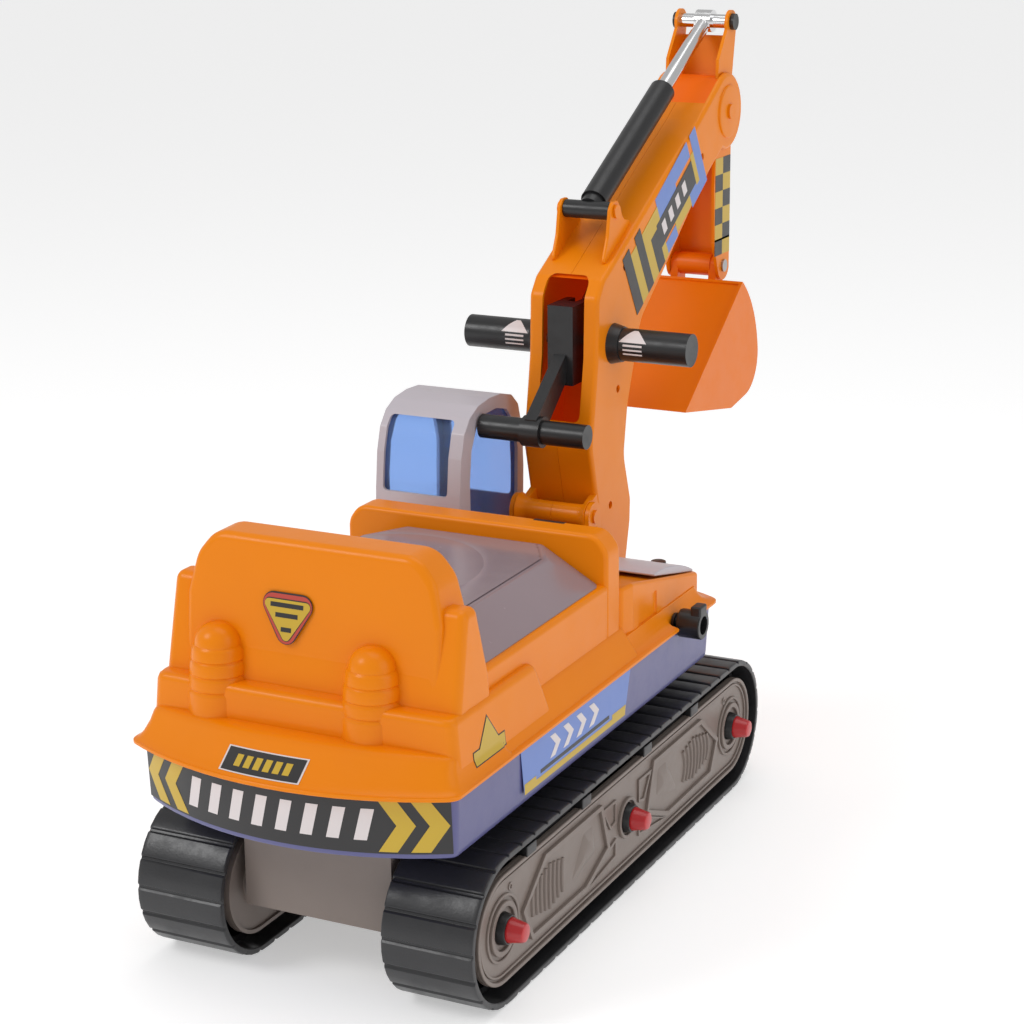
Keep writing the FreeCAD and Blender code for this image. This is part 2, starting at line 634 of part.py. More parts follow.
def boom_half_shell():
    """The right half of the hollow boom: one cheek, and half of the wall that runs round its edge."""
    seam = 0
    outer = prism("boom_outer", "X", boom_profile, (seam, S.boom_half))
    inner = inner_core("boom_inner", outer, S.wall, "X", (seam - 1, S.boom_half - S.wall))
    tube = rod("boom_foot_sleeve", "X", S.boom_sleeve, (seam, S.boom_half + 1), hinge)
    web = prism("boom_foot_web", "X", [
        (S.boom_hinge_y, S.boom_hinge_z - 9), (187, 252), (187, 282), (S.boom_hinge_y, S.boom_hinge_z + 9),
    ], (S.boom_half - 7, S.boom_half))
    ear = prism("ram_ear", "X", [
        (S.ram_y - 16, 482), (S.ram_y + 22, 502), (S.ram_y + 9, S.ram_z + 3), Via(S.ram_y, S.ram_z + 10),
        (S.ram_y - 10, S.ram_z),
    ], (22.2, 26))
    boss = rod("stick_boss", "X", 25, (S.boom_half, S.boom_half + 2), (S.stick_y, S.stick_z))
    post = rod("lever_post", "X", 10, (15, S.boom_half - 1), (S.lever_y, S.lever_z))
    bored = [
        rod("bore_foot", "X", S.pin_radius + S.fit_gap, (-1, 40), hinge),
        rod("bore_lever", "X", S.peg_shaft_radius + S.fit_gap, (-1, 40), (S.lever_y, S.lever_z)),
        rod("bore_stick", "X", S.pin_radius + S.fit_gap, (-1, 40), (S.stick_y, S.stick_z)),
        rod("bore_ram", "X", S.pin_radius + S.fit_gap, (-1, 40), (S.ram_y, S.ram_z)),
        *[rod(f"screw_bore_{number}", "X", S.screw_head_radius + S.fit_gap,
              (S.boom_half - 2, S.boom_half + 1), place)
          for number, place in enumerate(SCREW_PLACES)],
        *[rod(f"screw_pilot_{number}", "X", S.screw_radius + S.fit_gap, (S.boom_half - 20, S.boom_half),
              place)
          for number, place in enumerate(SCREW_PLACES)],
        box("fork", (-1, S.fork_half), (430, 530), (470, 640)),
        box("lever_slot", (-1, S.slot_half), (150, 204), (338, 480)),
    ]
    screw_posts = [rod(f"screw_post_{number}", "X", 4.5, (8, S.boom_half - 1), place)
                   for number, place in enumerate(SCREW_PLACES)]
    solid = join("boom_solid", [cut("boom_hollow", outer, [inner]), tube, web, ear, boss, post] + screw_posts)
    return cut("boom_right_body", solid, bored)


boom_right = boom_half_shell()
node(mirrored("boom_copy", boom_right), "boom_shell_left")
node(boom_right, "boom_shell_right")

pin("stick_pin", (S.stick_y, S.stick_z), S.boom_half + 2 + S.fit_gap, head=7)
pin("ram_pin", (S.ram_y, S.ram_z), 26.1)

peg_centre = (S.lever_y, S.lever_z)
peg_shaft = rod("peg_shaft_bar", "X", S.peg_shaft_radius, (-S.peg_shaft_reach, S.peg_shaft_reach), peg_centre)
node(loose("peg_shaft_body", [peg_shaft]), "peg_shaft")


def foot_peg():
    """A black grip on the boom's side, with a flared collar against the shell."""
    grip = rod("peg_grip", "X", S.peg_radius, (S.boom_half + 6, S.peg_tip), peg_centre)
    collar = cone("peg_collar", (S.peg_radius + 3.5, S.peg_radius + 1),
                  (S.boom_half + S.fit_gap, S.boom_half + 10),
                  peg_centre)
    bore = rod("peg_bore", "X", S.peg_shaft_radius + S.fit_gap, (S.boom_half - 1, S.peg_shaft_reach + 1),
               peg_centre)
    return cut("peg_body", join("peg_solid", [grip, collar]), [bore])


peg = foot_peg()
node(mirrored("peg_copy", peg), "peg_left")
node(peg, "peg_right")


def boom_screw(number, place):
    """A countersunk screw that closes the two boom halves."""
    head = rod(f"screw_{number}_head", "X", S.screw_head_radius, (S.boom_half - 2, S.boom_half + 0.6), place)
    shank = rod(f"screw_{number}_shank", "X", S.screw_radius,
                (S.boom_half - S.screw_length, S.boom_half - 2), place)
    return join(f"screw_{number}", [head, shank])


screws = loose("screws", [boom_screw(number, place) for number, place in enumerate(SCREW_PLACES)])
node(screws, "boom_screws")

# ---------------------------------------------------------------- control lever and link

lever_rear = 172
lever_block = box("lever_block", (-12, S.link_radius + 9), (lever_rear, S.lever_y), (376, 446))
lever_hub = rod("lever_hub", "X", 12, (-12, S.link_radius + 9), peg_centre)
link_pin_lever = (S.lever_y + S.link_dy, S.lever_z + S.link_dz)
lever_tip = rod("lever_tip", "X", 8, (-12, S.link_radius + 9), link_pin_lever)
arm = prism("lever_arm", "X", [
    (lever_rear + 6, 384), (lever_rear + 6, 408), (S.bar_y - 8, S.bar_z + 12), (S.bar_y - 2, S.bar_z - 12),
], (-5.5, S.link_radius + 2.5))
bar_eye = rod("bar_eye", "X", S.bar_radius + 3, (-9, S.link_radius + 6), (S.bar_y, S.bar_z))
lever_cuts = [
    rod("lever_bore", "X", 5 + S.fit_gap, (-13, S.link_radius + 10), peg_centre),
    rod("bar_bore", "X", S.bar_radius + S.fit_gap, (-13, S.link_radius + 10), (S.bar_y, S.bar_z)),
    box("link_room", (-4, S.link_radius + 1), (196, S.lever_y + 20), (S.lever_z + 12.5, 460)),
    rod("link_bore", "X", 2.5 + S.fit_gap, (-13, S.link_radius + 10), link_pin_lever),
]
node(cut("lever_body", join("lever_solid", [lever_block, lever_hub, lever_tip, arm, bar_eye]), lever_cuts),
     "control_lever")

bar = rod("lever_bar", "X", S.bar_radius, (-S.bar_half, S.bar_half), (S.bar_y, S.bar_z))
node(loose("lever_bar_body", [bar]), "lever_handle_bar")
lever_pin = rod("link_pin_front", "X", 2.5, (-12, S.link_radius + 9), link_pin_lever)
node(loose("link_pin_front_body", [lever_pin]), "link_pin_lever")

link_pin_stick = (S.stick_y + S.link_dy, S.stick_z + S.link_dz)
link_run = (float(S.stick_y - S.lever_y), float(S.stick_z - S.lever_z))
link_length = math.hypot(*link_run)
link_bar = doc.addObject("Part::Cylinder", "link_bar")
bind(link_bar, "Radius", S.link_radius)
bind(link_bar, "Height", link_length)
link_turn = FreeCAD.Rotation(AXES["Z"], FreeCAD.Vector(0, *link_run))
link_bar.Placement = FreeCAD.Placement(FreeCAD.Vector(), link_turn)
move_to(link_bar, 0, *link_pin_lever)
link_eyes = [rod(f"link_eye_{number}", "X", 6.5, (-3.5, S.link_radius + 0.5), centre)
             for number, centre in enumerate((link_pin_lever, link_pin_stick))]
link_bores = [rod(f"link_eye_bore_{number}", "X", 2.5 + S.fit_gap + number * 0.35,
                  (-4, S.link_radius + 1), centre)
              for number, centre in enumerate((link_pin_lever, link_pin_stick))]
node(cut("link_body", join("link_solid", [link_bar] + link_eyes), link_bores), "link_rod")

# ---------------------------------------------------------------- stick

stick_profile = [
    (474, 426), Via(S.bucket_y + 1, S.bucket_z - 14), (502, 426), (503, 610), (512, 656),
    Via(S.top_pin_y, S.top_pin_z + 11), (489.5, 656), (469, 629), (461, 507), (463, 454),
]
stick_outer = prism("stick_outer", "X", stick_profile, (-S.stick_half, S.stick_half))
stick_room = prism("stick_room", "X", [
    (440, 405), (530, 405), (530, 434), (499.5, 434), (499.5, 611), (507, 648), (530, 648), (530, 690),
    (440, 690),
], (S.wall - S.stick_half, S.stick_half - S.wall))
stick_sleeve = rod("stick_sleeve", "X", 8, (1 - S.stick_half, S.stick_half - 1), (S.stick_y, S.stick_z))
link_posts = [rod(f"link_post_{number}", "X", 5, span, link_pin_stick)
              for number, span in enumerate(((4.2, S.stick_half - 1), (1 - S.stick_half, -4.2)))]
stick_bores = [
    rod("stick_bore", "X", S.pin_radius + S.fit_gap, (-S.stick_half - 1, S.stick_half + 1),
        (S.stick_y, S.stick_z)),
    rod("stick_bucket_bore", "X", S.pin_radius + S.fit_gap, (-S.stick_half - 1, S.stick_half + 1),
        (S.bucket_y, S.bucket_z)),
    rod("stick_top_bore", "X", S.top_pin_radius + S.fit_gap, (-S.stick_half - 1, S.stick_half + 1),
        (S.top_pin_y, S.top_pin_z)),
    rod("stick_link_bore", "X", 2.5 + S.fit_gap, (-S.stick_half - 1, S.stick_half + 1), link_pin_stick),
]
stick = cut("stick_body", join("stick_solid", [cut("stick_shell", stick_outer, [stick_room]), stick_sleeve]
                               + link_posts), stick_bores)
node(stick, "stick")
back_pin = rod("link_pin_back", "X", 2.5, (-S.stick_half, S.stick_half), link_pin_stick)
node(loose("link_pin_back_body", [back_pin]), "link_pin_stick")

top_centre = (S.top_pin_y, S.top_pin_z)
top_tube = rod("top_pin_tube", "X", S.top_pin_radius, (-S.stick_half - 1, S.stick_half + 1), top_centre)
node(loose("top_pin_body", [top_tube]), "top_pin")


def pin_cap():
    """A black push-on cap on the end of the chrome top pin."""
    cap = rod("top_cap", "X", S.top_pin_radius + 1.2, (S.stick_half + S.fit_gap, S.stick_half + 4),
              top_centre)
    seat = rod("top_cap_seat", "X", S.top_pin_radius + S.fit_gap, (S.stick_half - 1, S.stick_half + 1.1),
               top_centre)
    return cut("top_cap_body", cap, [seat])


cap_right = pin_cap()
node(loose("top_caps", [cap_right, mirrored("top_cap_copy", cap_right)]), "top_pin_caps")

# ---------------------------------------------------------------- ram: black barrel and bright rod

ram_run = (float(S.top_pin_y - S.ram_y), float(S.top_pin_z - S.ram_z))
ram_turn = FreeCAD.Rotation(AXES["Z"], FreeCAD.Vector(0, *ram_run))
ram_back = FreeCAD.Rotation(AXES["Z"], FreeCAD.Vector(0, -ram_run[0], -ram_run[1]))


def along_ram(name, radius, start, length, from_top=False):
    """A round piece on the ram's line, measured from its lower or its upper pin."""
    piece = doc.addObject("Part::Cylinder", name)
    bind(piece, "Radius", radius)
    bind(piece, "Height", length)
    turn = ram_back if from_top else ram_turn
    offset = turn.multVec(FreeCAD.Vector(0, 0, float(start)))
    origin = top_centre if from_top else (S.ram_y, S.ram_z)
    piece.Placement = FreeCAD.Placement(FreeCAD.Vector(), turn)
    move_to(piece, 0, origin[0] + offset.y, origin[1] + offset.z)
    return piece


barrel_tube = along_ram("barrel_tube", S.barrel_radius, 12, S.barrel_length - 12)
barrel_neck = along_ram("barrel_neck", 10, 3, 12)
barrel_eye = rod("barrel_eye", "X", 8, (-21.5, 21.5), (S.ram_y, S.ram_z))
barrel_hole = along_ram("barrel_hole", S.barrel_bore, 30, S.barrel_length)
barrel_pin_bore = rod("barrel_pin_bore", "X", S.pin_radius + S.fit_gap, (-22, 22),
                      (S.ram_y, S.ram_z))
node(cut("barrel_body", join("barrel_solid", [barrel_tube, barrel_neck, barrel_eye]),
         [barrel_hole, barrel_pin_bore]), "ram_barrel")

rod_bar = along_ram("ram_rod_bar", S.ram_rod_radius, 7, S.ram_rod_length, from_top=True)
rod_eye = rod("ram_rod_eye", "X", 10.5, (-S.ram_eye_half, S.ram_eye_half), top_centre)
rod_bore = rod("ram_rod_bore", "X", S.top_pin_radius + S.fit_gap,
               (-S.ram_eye_half - 1, S.ram_eye_half + 1), top_centre)
node(cut("ram_rod_body", join("ram_rod_solid", [rod_bar, rod_eye]), [rod_bore]), "ram_rod")

# ---------------------------------------------------------------- bucket

bucket_profile = [
    (455, 422), Via(484, 391), (499, 348), Via(491, 322), (466, 308.5), (430, 303.5), (314, 325),
]
bucket_outer = prism("bucket_outer", "X", bucket_profile, (-S.bucket_half, S.bucket_half))
bucket_core = inner_core("bucket_core", bucket_outer, S.wall, "X",
                         (S.wall - S.bucket_half, S.bucket_half - S.wall))
bucket_mouth = prism("bucket_mouth", "X", [
    (453.5, 419), (318.5, 327.6), (290, 380), (430, 450),
], (S.wall - S.bucket_half, S.bucket_half - S.wall))


def bucket_ear(name, span):
    """A lug on the bucket's back that reaches up inside the stick."""
    return prism(name, "X", [
        (474, 398), (492, 373), (S.bucket_y + 10, S.bucket_z), Via(S.bucket_y, S.bucket_z + 10),
        (S.bucket_y - 10, S.bucket_z),
    ], span)


ears = [bucket_ear("right_ear", (16, S.stick_half - S.wall - 0.5)),
        bucket_ear("left_ear", (0.5 + S.wall - S.stick_half, -16))]
bucket_bore = rod("bucket_bore", "X", S.pin_radius + S.fit_gap, (-30, 30),
                  (S.bucket_y, S.bucket_z))
bucket_sleeve = rod("bucket_sleeve", "X", 11, (-17, 17), (S.bucket_y, S.bucket_z))
bucket_shell = cut("bucket_shell", bucket_outer, [bucket_core, bucket_mouth])
node(cut("bucket_body", join("bucket_solid", [bucket_shell, bucket_sleeve] + ears), [bucket_bore]), "bucket")
pin("bucket_pin", (S.bucket_y, S.bucket_z), S.stick_half + S.fit_gap)

# ---------------------------------------------------------------- checks and files

doc.recompute()
for thing in doc.Objects:
    if "Invalid" in thing.State or "Error" in thing.State:
        raise RuntimeError(f"{thing.Label} did not build: {thing.State}")
for shape in nodes:
    if shape.Shape.isNull() or not shape.Shape.isValid() or not shape.Shape.Solids:
        raise RuntimeError(f"{shape.Label} is not a valid solid")

os.makedirs("parts", exist_ok=True)
for shape in nodes:
    shape.Shape.exportStep(f"parts/{shape.Label}.step")
    print(f"{shape.Label}: {len(shape.Shape.Solids)} solid(s), {shape.Shape.Volume / 1000:.1f} cm3")
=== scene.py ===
import json
import math

import bmesh
from mathutils.bvhtree import BVHTree
import bpy
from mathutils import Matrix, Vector


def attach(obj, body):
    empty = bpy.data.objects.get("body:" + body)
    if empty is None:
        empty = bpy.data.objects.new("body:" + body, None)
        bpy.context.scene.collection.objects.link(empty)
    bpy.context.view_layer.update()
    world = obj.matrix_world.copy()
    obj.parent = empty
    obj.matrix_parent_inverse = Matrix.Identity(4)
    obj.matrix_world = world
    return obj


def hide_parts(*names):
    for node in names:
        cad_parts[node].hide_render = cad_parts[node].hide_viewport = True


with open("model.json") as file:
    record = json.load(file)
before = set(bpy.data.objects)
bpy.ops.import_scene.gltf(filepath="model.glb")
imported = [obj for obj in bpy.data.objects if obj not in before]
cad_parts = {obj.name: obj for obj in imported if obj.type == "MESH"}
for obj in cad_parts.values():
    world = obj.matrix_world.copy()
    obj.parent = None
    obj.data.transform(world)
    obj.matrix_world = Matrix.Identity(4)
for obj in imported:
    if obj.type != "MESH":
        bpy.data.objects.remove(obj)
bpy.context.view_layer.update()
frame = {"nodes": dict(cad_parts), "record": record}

# ---------------------------------------------------------------- undercarriage frame
# A moulded taupe box that joins the two tracks, with steel axles and a post for the house to turn on.
# The box is open below; its rear panel is the part that shows between the tracks.


def group(name, inputs, outputs):
    """A shader node group with its sockets, and its input and output nodes."""
    tree = bpy.data.node_groups.new(name, "ShaderNodeTree")
    for label, kind, value in inputs:
        socket = tree.interface.new_socket(label, in_out="INPUT", socket_type=kind)
        socket.default_value = value
    for label, kind in outputs:
        tree.interface.new_socket(label, in_out="OUTPUT", socket_type=kind)
    return tree, tree.nodes.new("NodeGroupInput"), tree.nodes.new("NodeGroupOutput")


def add(tree, kind, links=None, **values):
    """Adds a shader node; links maps its input sockets to output sockets or constants."""
    made = tree.nodes.new(kind)
    for key, value in values.items():
        setattr(made, key, value)
    for key, value in (links or {}).items():
        if isinstance(value, bpy.types.NodeSocket):
            tree.links.new(value, made.inputs[key])
        else:
            made.inputs[key].default_value = value
    return made


# Skin of a moulding: faint flow marks in the colour, uneven polish, and a fine relief.
skin, skin_in, skin_out = group("Moulded skin", [
    ("Grain", "NodeSocketFloat", 900.0), ("Relief", "NodeSocketFloat", 0.04), ("Wave", "NodeSocketFloat",
                                                                               0.05),
], [("Flow", "NodeSocketFloat"), ("Polish", "NodeSocketFloat"), ("Normal", "NodeSocketVector")])
where = add(skin, "ShaderNodeTexCoord")
flow = add(skin, "ShaderNodeTexNoise", {"Vector": where.outputs["Object"], "Scale": 14.0, "Detail": 4.0})
wave = add(skin, "ShaderNodeTexNoise", {"Vector": where.outputs["Object"], "Scale": 22.0, "Detail": 1.0})
grain = add(skin, "ShaderNodeTexNoise", {"Vector": where.outputs["Object"], "Scale": skin_in.outputs["Grain"],
                                        "Detail": 2.0})
scuff = add(skin, "ShaderNodeTexNoise", {"Vector": where.outputs["Object"], "Scale": 60.0, "Detail": 6.0,
                                        "Roughness": 0.7})
scuff_mask = add(skin, "ShaderNodeMapRange", {"Value": scuff.outputs["Fac"], "From Min": 0.45,
                                              "From Max": 0.8})
broad = add(skin, "ShaderNodeBump", {"Strength": skin_in.outputs["Wave"], "Distance": 0.02,
                                    "Height": wave.outputs["Fac"]})
fine = add(skin, "ShaderNodeBump", {"Strength": skin_in.outputs["Relief"], "Distance": 0.0006,
                                   "Height": grain.outputs["Fac"], "Normal": broad.outputs["Normal"]})
skin.links.new(flow.outputs["Fac"], skin_out.inputs["Flow"])
skin.links.new(scuff_mask.outputs["Result"], skin_out.inputs["Polish"])
skin.links.new(fine.outputs["Normal"], skin_out.inputs["Normal"])


def finish(name, colour, deep, rough=(0.3, 0.42), coat=0.0, grain_size=900.0, relief=0.06, wave_size=0.03,
           metal=0.0, specular=0.5):
    """A moulded or plated finish whose colour drifts slightly between two shades."""
    material = bpy.data.materials.new(name)
    material.use_nodes = True
    tree = material.node_tree
    shader = tree.nodes["Principled BSDF"]
    marks = add(tree, "ShaderNodeGroup", node_tree=skin)
    marks.inputs["Grain"].default_value = grain_size
    marks.inputs["Relief"].default_value = relief
    marks.inputs["Wave"].default_value = wave_size
    shade = add(tree, "ShaderNodeMix", {"Factor": marks.outputs["Flow"]}, data_type="RGBA")
    shade.inputs["A"].default_value = (*deep, 1)
    shade.inputs["B"].default_value = (*colour, 1)
    rough_range = add(tree, "ShaderNodeMapRange", {"Value": marks.outputs["Polish"], "To Min": rough[0],
                                                  "To Max": rough[1]})
    tree.links.new(shade.outputs["Result"], shader.inputs["Base Color"])
    tree.links.new(rough_range.outputs["Result"], shader.inputs["Roughness"])
    tree.links.new(marks.outputs["Normal"], shader.inputs["Normal"])
    shader.inputs["Metallic"].default_value = metal
    shader.inputs["Coat Weight"].default_value = coat
    shader.inputs["Coat Roughness"].default_value = 0.12
    shader.inputs["Specular IOR Level"].default_value = specular
    return material


TAUPE = finish("taupe plastic", (0.235, 0.19, 0.165), (0.20, 0.16, 0.14), (0.4, 0.52), 0.0, relief=0.12)
STEEL = finish("zinc plated steel", (0.50, 0.50, 0.51), (0.42, 0.42, 0.43), (0.3, 0.5), metal=1.0)


def keep(names, material, soft=0.0, segments=2):
    """Finishes frame nodes that are shown as they are, with their edges eased."""
    for name in names:
        thing = frame["nodes"][name]
        thing.data.materials.clear()
        thing.data.materials.append(material)
        thing.data.polygons.foreach_set("use_smooth", [True] * len(thing.data.polygons))
        thing.data.set_sharp_from_angle(angle=math.radians(30))
        if soft:
            eased = thing.modifiers.new("eased edges", "BEVEL")
            eased.width = soft / 1000
            eased.segments = segments
            eased.limit_method = "ANGLE"
            eased.angle_limit = math.radians(35)
            eased.harden_normals = True


keep(["chassis_frame"], TAUPE, 1.2)
keep(["slew_post", "axle_rear", "axle_middle", "axle_front"], STEEL, 0.3)

# ---------------------------------------------------------------- road wheels
# Six black moulded wheels, free to turn on the steel axles inside the side covers.
# Beside them, black guide blocks stand under the belts' top runs.

joints = frame["record"]["behaviour"]["joints"]
SLEW = next(joint["pos_m"][1] for joint in joints if joint["name"] == "house_slew")


def at(x, y, z):
    """A point given in millimetres from the slew axis, in the row frame."""
    return Vector((x / 1000, y / 1000 + SLEW, z / 1000))


BLACK = finish("black plastic", (0.014, 0.014, 0.015), (0.010, 0.010, 0.011), (0.32, 0.5), 0.05, relief=0.1)


def place(axis, level, a, b):
    """The point at a level on one axis and two coordinates across it."""
    return {"X": (level, a, b), "Y": (a, level, b), "Z": (a, b, level)}[axis]


def soften(lump, width, segments=3, only=None, angle=32):
    """Rounds a lump's sharp edges; only picks edges by their middle point."""
    if width <= 0:
        return lump
    lump.normal_update()
    sharp = [edge for edge in lump.edges if len(edge.link_faces) == 2
             and edge.calc_face_angle(0) > math.radians(angle)
             and (only is None or only((edge.verts[0].co + edge.verts[1].co) / 2))]
    bmesh.ops.bevel(lump, geom=sharp, offset=width, segments=segments, profile=0.5, affect="EDGES",
                    clamp_overlap=True)
    return lump


def outward(lump):
    """A lump with all its faces turned outwards."""
    bmesh.ops.recalc_face_normals(lump, faces=list(lump.faces))
    return lump


def slab(axis, outline, low, high, soft=0.0, segments=3, holes=(), only=None):
    """A flat-sided block with that outline between two levels along an axis, in millimetres."""
    lump = bmesh.new()
    loops = []
    for loop in [outline, *holes]:
        verts = [lump.verts.new(place(axis, low, *point)) for point in loop]
        loops += [lump.edges.new((a, b)) for a, b in zip(verts, verts[1:] + verts[:1])]
    if holes:
        bmesh.ops.triangle_fill(lump, use_beauty=True, use_dissolve=False, edges=loops)
    else:
        lump.faces.new(list(lump.verts))
    grown = bmesh.ops.extrude_face_region(lump, geom=list(lump.faces))
    shift = Vector(place(axis, high - low, 0, 0))
    for item in grown["geom"]:
        if isinstance(item, bmesh.types.BMVert):
            item.co += shift
    return soften(outward(lump), soft, segments, only)


def block(x, y, z, soft=0.0, segments=3, only=None):
    """A box between two places along each axis, in millimetres."""
    return slab("Z", [(x[0], y[0]), (x[1], y[0]), (x[1], y[1]), (x[0], y[1])], z[0], z[1], soft, segments,
                only=only)


def together(*lumps):
    """Several lumps as one."""
    whole = bmesh.new()
    for lump in lumps:
        carrier = bpy.data.meshes.new("carrier")
        lump.to_mesh(carrier)
        whole.from_mesh(carrier)
        bpy.data.meshes.remove(carrier)
    return whole


def mirror(lump):
    """The left-hand copy of a lump."""
    copy = lump.copy()
    for vert in copy.verts:
        vert.co.x = -vert.co.x
    bmesh.ops.reverse_faces(copy, faces=list(copy.faces))
    return copy


def sides(lump):
    """A right-hand lump and its mirrored copy, each with the name of its side."""
    return ("left", mirror(lump)), ("right", lump)


def piece(name, lump, body, material, nodes=(), angle=35):
    """Makes a lump in millimetres into a finished piece that rides on a body."""
    for vert in lump.verts:
        vert.co = at(*vert.co)
    mesh = bpy.data.meshes.new(name)
    lump.to_mesh(mesh)
    mesh.polygons.foreach_set("use_smooth", [True] * len(mesh.polygons))
    mesh.set_sharp_from_angle(angle=math.radians(angle))
    mesh.materials.append(material)
    thing = bpy.data.objects.new(name, mesh)
    bpy.context.scene.collection.objects.link(thing)
    weighted = thing.modifiers.new("even shading", "WEIGHTED_NORMAL")
    weighted.keep_sharp = True
    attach(thing, body)
    if nodes:
        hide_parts(*nodes)
    return thing


keep([f"wheel_{side}_{spot}" for side in ("left", "right") for spot in ("rear", "middle", "front")],
     BLACK, 0.8)
keep(["track_guides_left", "track_guides_right"], BLACK, 0.8)
blocks = together(*[block((128, 143.4), (y, y + 17), (103.5, 112.5), 1.2, 2) for y in (-194, -94, 28, 130)])
for side, shape in sides(blocks):
    piece(f"guide_blocks_{side}", shape, "undercarriage", BLACK)

# ---------------------------------------------------------------- track belts
# Stiff black belts with wide flat cross bars; each bar leans a little, so its edge catches the light.
# The belt's rims stand a little lower than the bars.

BELT = finish("black belt plastic", (0.028, 0.028, 0.030), (0.020, 0.020, 0.022), (0.3, 0.5), 0.0,
              500.0, 0.15, 0.08)
HUB_LEVEL = 60.7


def bridge(lump, rows):
    """Adds the faces between each closed row of points and the next."""
    for low, high in zip(rows, rows[1:]):
        for k in range(len(low)):
            lump.faces.new((low[k - 1], low[k], high[k], high[k - 1]))


def track_belt():
    """The right belt: one section, carried round the run with the bars' lift added."""
    inner_x, outer_x = 69.2, 145.3
    radius = 58.4
    run, bend = 460.0, math.pi * radius
    total = 2 * (run + bend)
    bars = 58
    lift = [(0.0, 0.0), (0.07, 0.2), (0.10, 1.5), (0.16, 2.1), (0.55, 2.2), (0.9, 1.9), (0.96, 0.9),
            (0.985, 0.1)]
    rings = []
    for bar in range(bars):
        for share, rise in lift:
            along = (bar + share) / bars * total
            if along < run:
                centre, turn = (-230 + along, HUB_LEVEL), 0.0
            elif along < run + bend:
                centre, turn = (230.0, HUB_LEVEL), (along - run) / radius
            elif along < 2 * run + bend:
                centre, turn = (230 - (along - run - bend), HUB_LEVEL), math.pi
            else:
                centre, turn = (-230.0, HUB_LEVEL), math.pi + (along - 2 * run - bend) / radius
            out = (math.sin(turn), math.cos(turn))
            section = []
            for x, r in ((inner_x + 1.2, radius + rise), (inner_x + 4, radius + rise), (107, radius + rise),
                         (outer_x - 4, radius + rise), (outer_x - 1.4, radius + rise),
                         (outer_x - 0.3, radius + rise * 0.75), (outer_x, radius + rise * 0.4 - 0.4),
                         (outer_x, radius - 2.4), (outer_x - 0.6, radius - 3.1), (107, radius - 3.1),
                         (inner_x + 0.6, radius - 3.1), (inner_x, radius - 2.4),
                         (inner_x, radius + rise * 0.4 - 0.4), (inner_x + 0.3, radius + rise * 0.75)):
                section.append((x, centre[0] + out[0] * r, centre[1] + out[1] * r))
            rings.append(section)
    lump = bmesh.new()
    rows = [[lump.verts.new(point) for point in section] for section in rings]
    bridge(lump, rows + rows[:1])
    return outward(lump)


for side, shape in sides(track_belt()):
    piece(f"{side}_belt", shape, "undercarriage", BELT, [f"belt_{side}"], 28)

# ---------------------------------------------------------------- track side covers
# Taupe mouldings screwed inside each belt, with a double rim, rings round the hubs, framed panels with
# louvres, and a trough that runs between them. The inner covers are plain.


def arc(start, via, finish_at, steps=10):
    """Points along the arc through three points."""
    (ax, ay), (bx, by), (cx, cy) = start, via, finish_at
    d = 2 * (ax * (by - cy) + bx * (cy - ay) + cx * (ay - by))
    a2, b2, c2 = ax * ax + ay * ay, bx * bx + by * by, cx * cx + cy * cy
    ux = (a2 * (by - cy) + b2 * (cy - ay) + c2 * (ay - by)) / d
    uy = (a2 * (cx - bx) + b2 * (ax - cx) + c2 * (bx - ax)) / d
    radius = math.hypot(ax - ux, ay - uy)
    first = math.atan2(ay - uy, ax - ux)
    middle = (math.atan2(by - uy, bx - ux) - first) % (2 * math.pi)
    last = (math.atan2(cy - uy, cx - ux) - first) % (2 * math.pi)
    if middle > last:
        last -= 2 * math.pi
    return [(ux + radius * math.cos(first + last * k / steps),
             uy + radius * math.sin(first + last * k / steps))
            for k in range(steps + 1)]


def rounded(corners, radius, steps=5):
    """A polygon with every corner filleted; a corner may give its own radius as a third number."""
    points = []
    for k, corner in enumerate(corners):
        here = Vector(corner[:2])
        r = corner[2] if len(corner) > 2 else radius
        back = (Vector(corners[k - 1][:2]) - here)
        ahead = (Vector(corners[(k + 1) % len(corners)][:2]) - here)
        if r <= 0:
            points.append(tuple(here))
            continue
        half = back.angle(ahead) / 2
        reach = min(r / math.tan(half), back.length * 0.49, ahead.length * 0.49)
        r = reach * math.tan(half)
        centre = here + (back.normalized() + ahead.normalized()).normalized() * (r / math.sin(half))
        first = here + back.normalized() * reach - centre
        turn = first.angle_signed(here + ahead.normalized() * reach - centre)
        for step in range(steps + 1):
            a = -turn * step / steps
            points.append((centre.x + first.x * math.cos(a) - first.y * math.sin(a),
                           centre.y + first.x * math.sin(a) + first.y * math.cos(a)))
    return points


def circle(centre, radius, steps=32):
    """Points round a circle."""
    return [(centre[0] + radius * math.cos(2 * math.pi * k / steps),
             centre[1] + radius * math.sin(2 * math.pi * k / steps)) for k in range(steps)]


def inset(points, distance):
    """A polygon drawn inwards; its corners must stay simple."""
    area = sum(a[0] * b[1] - b[0] * a[1] for a, b in zip(points, points[1:] + points[:1]))
    side = 1 if area > 0 else -1
    result = []
    for k in range(len(points)):
        before = (Vector(points[k]) - Vector(points[k - 1])).normalized()
        after = (Vector(points[(k + 1) % len(points)]) - Vector(points[k])).normalized()
        n1 = Vector((-before.y, before.x)) * side
        n2 = Vector((-after.y, after.x)) * side
        out = n1 + n2
        out = out.normalized() * distance / max(0.35, out.normalized().dot(n1))
        result.append((points[k][0] + out.x, points[k][1] + out.y))
    return result


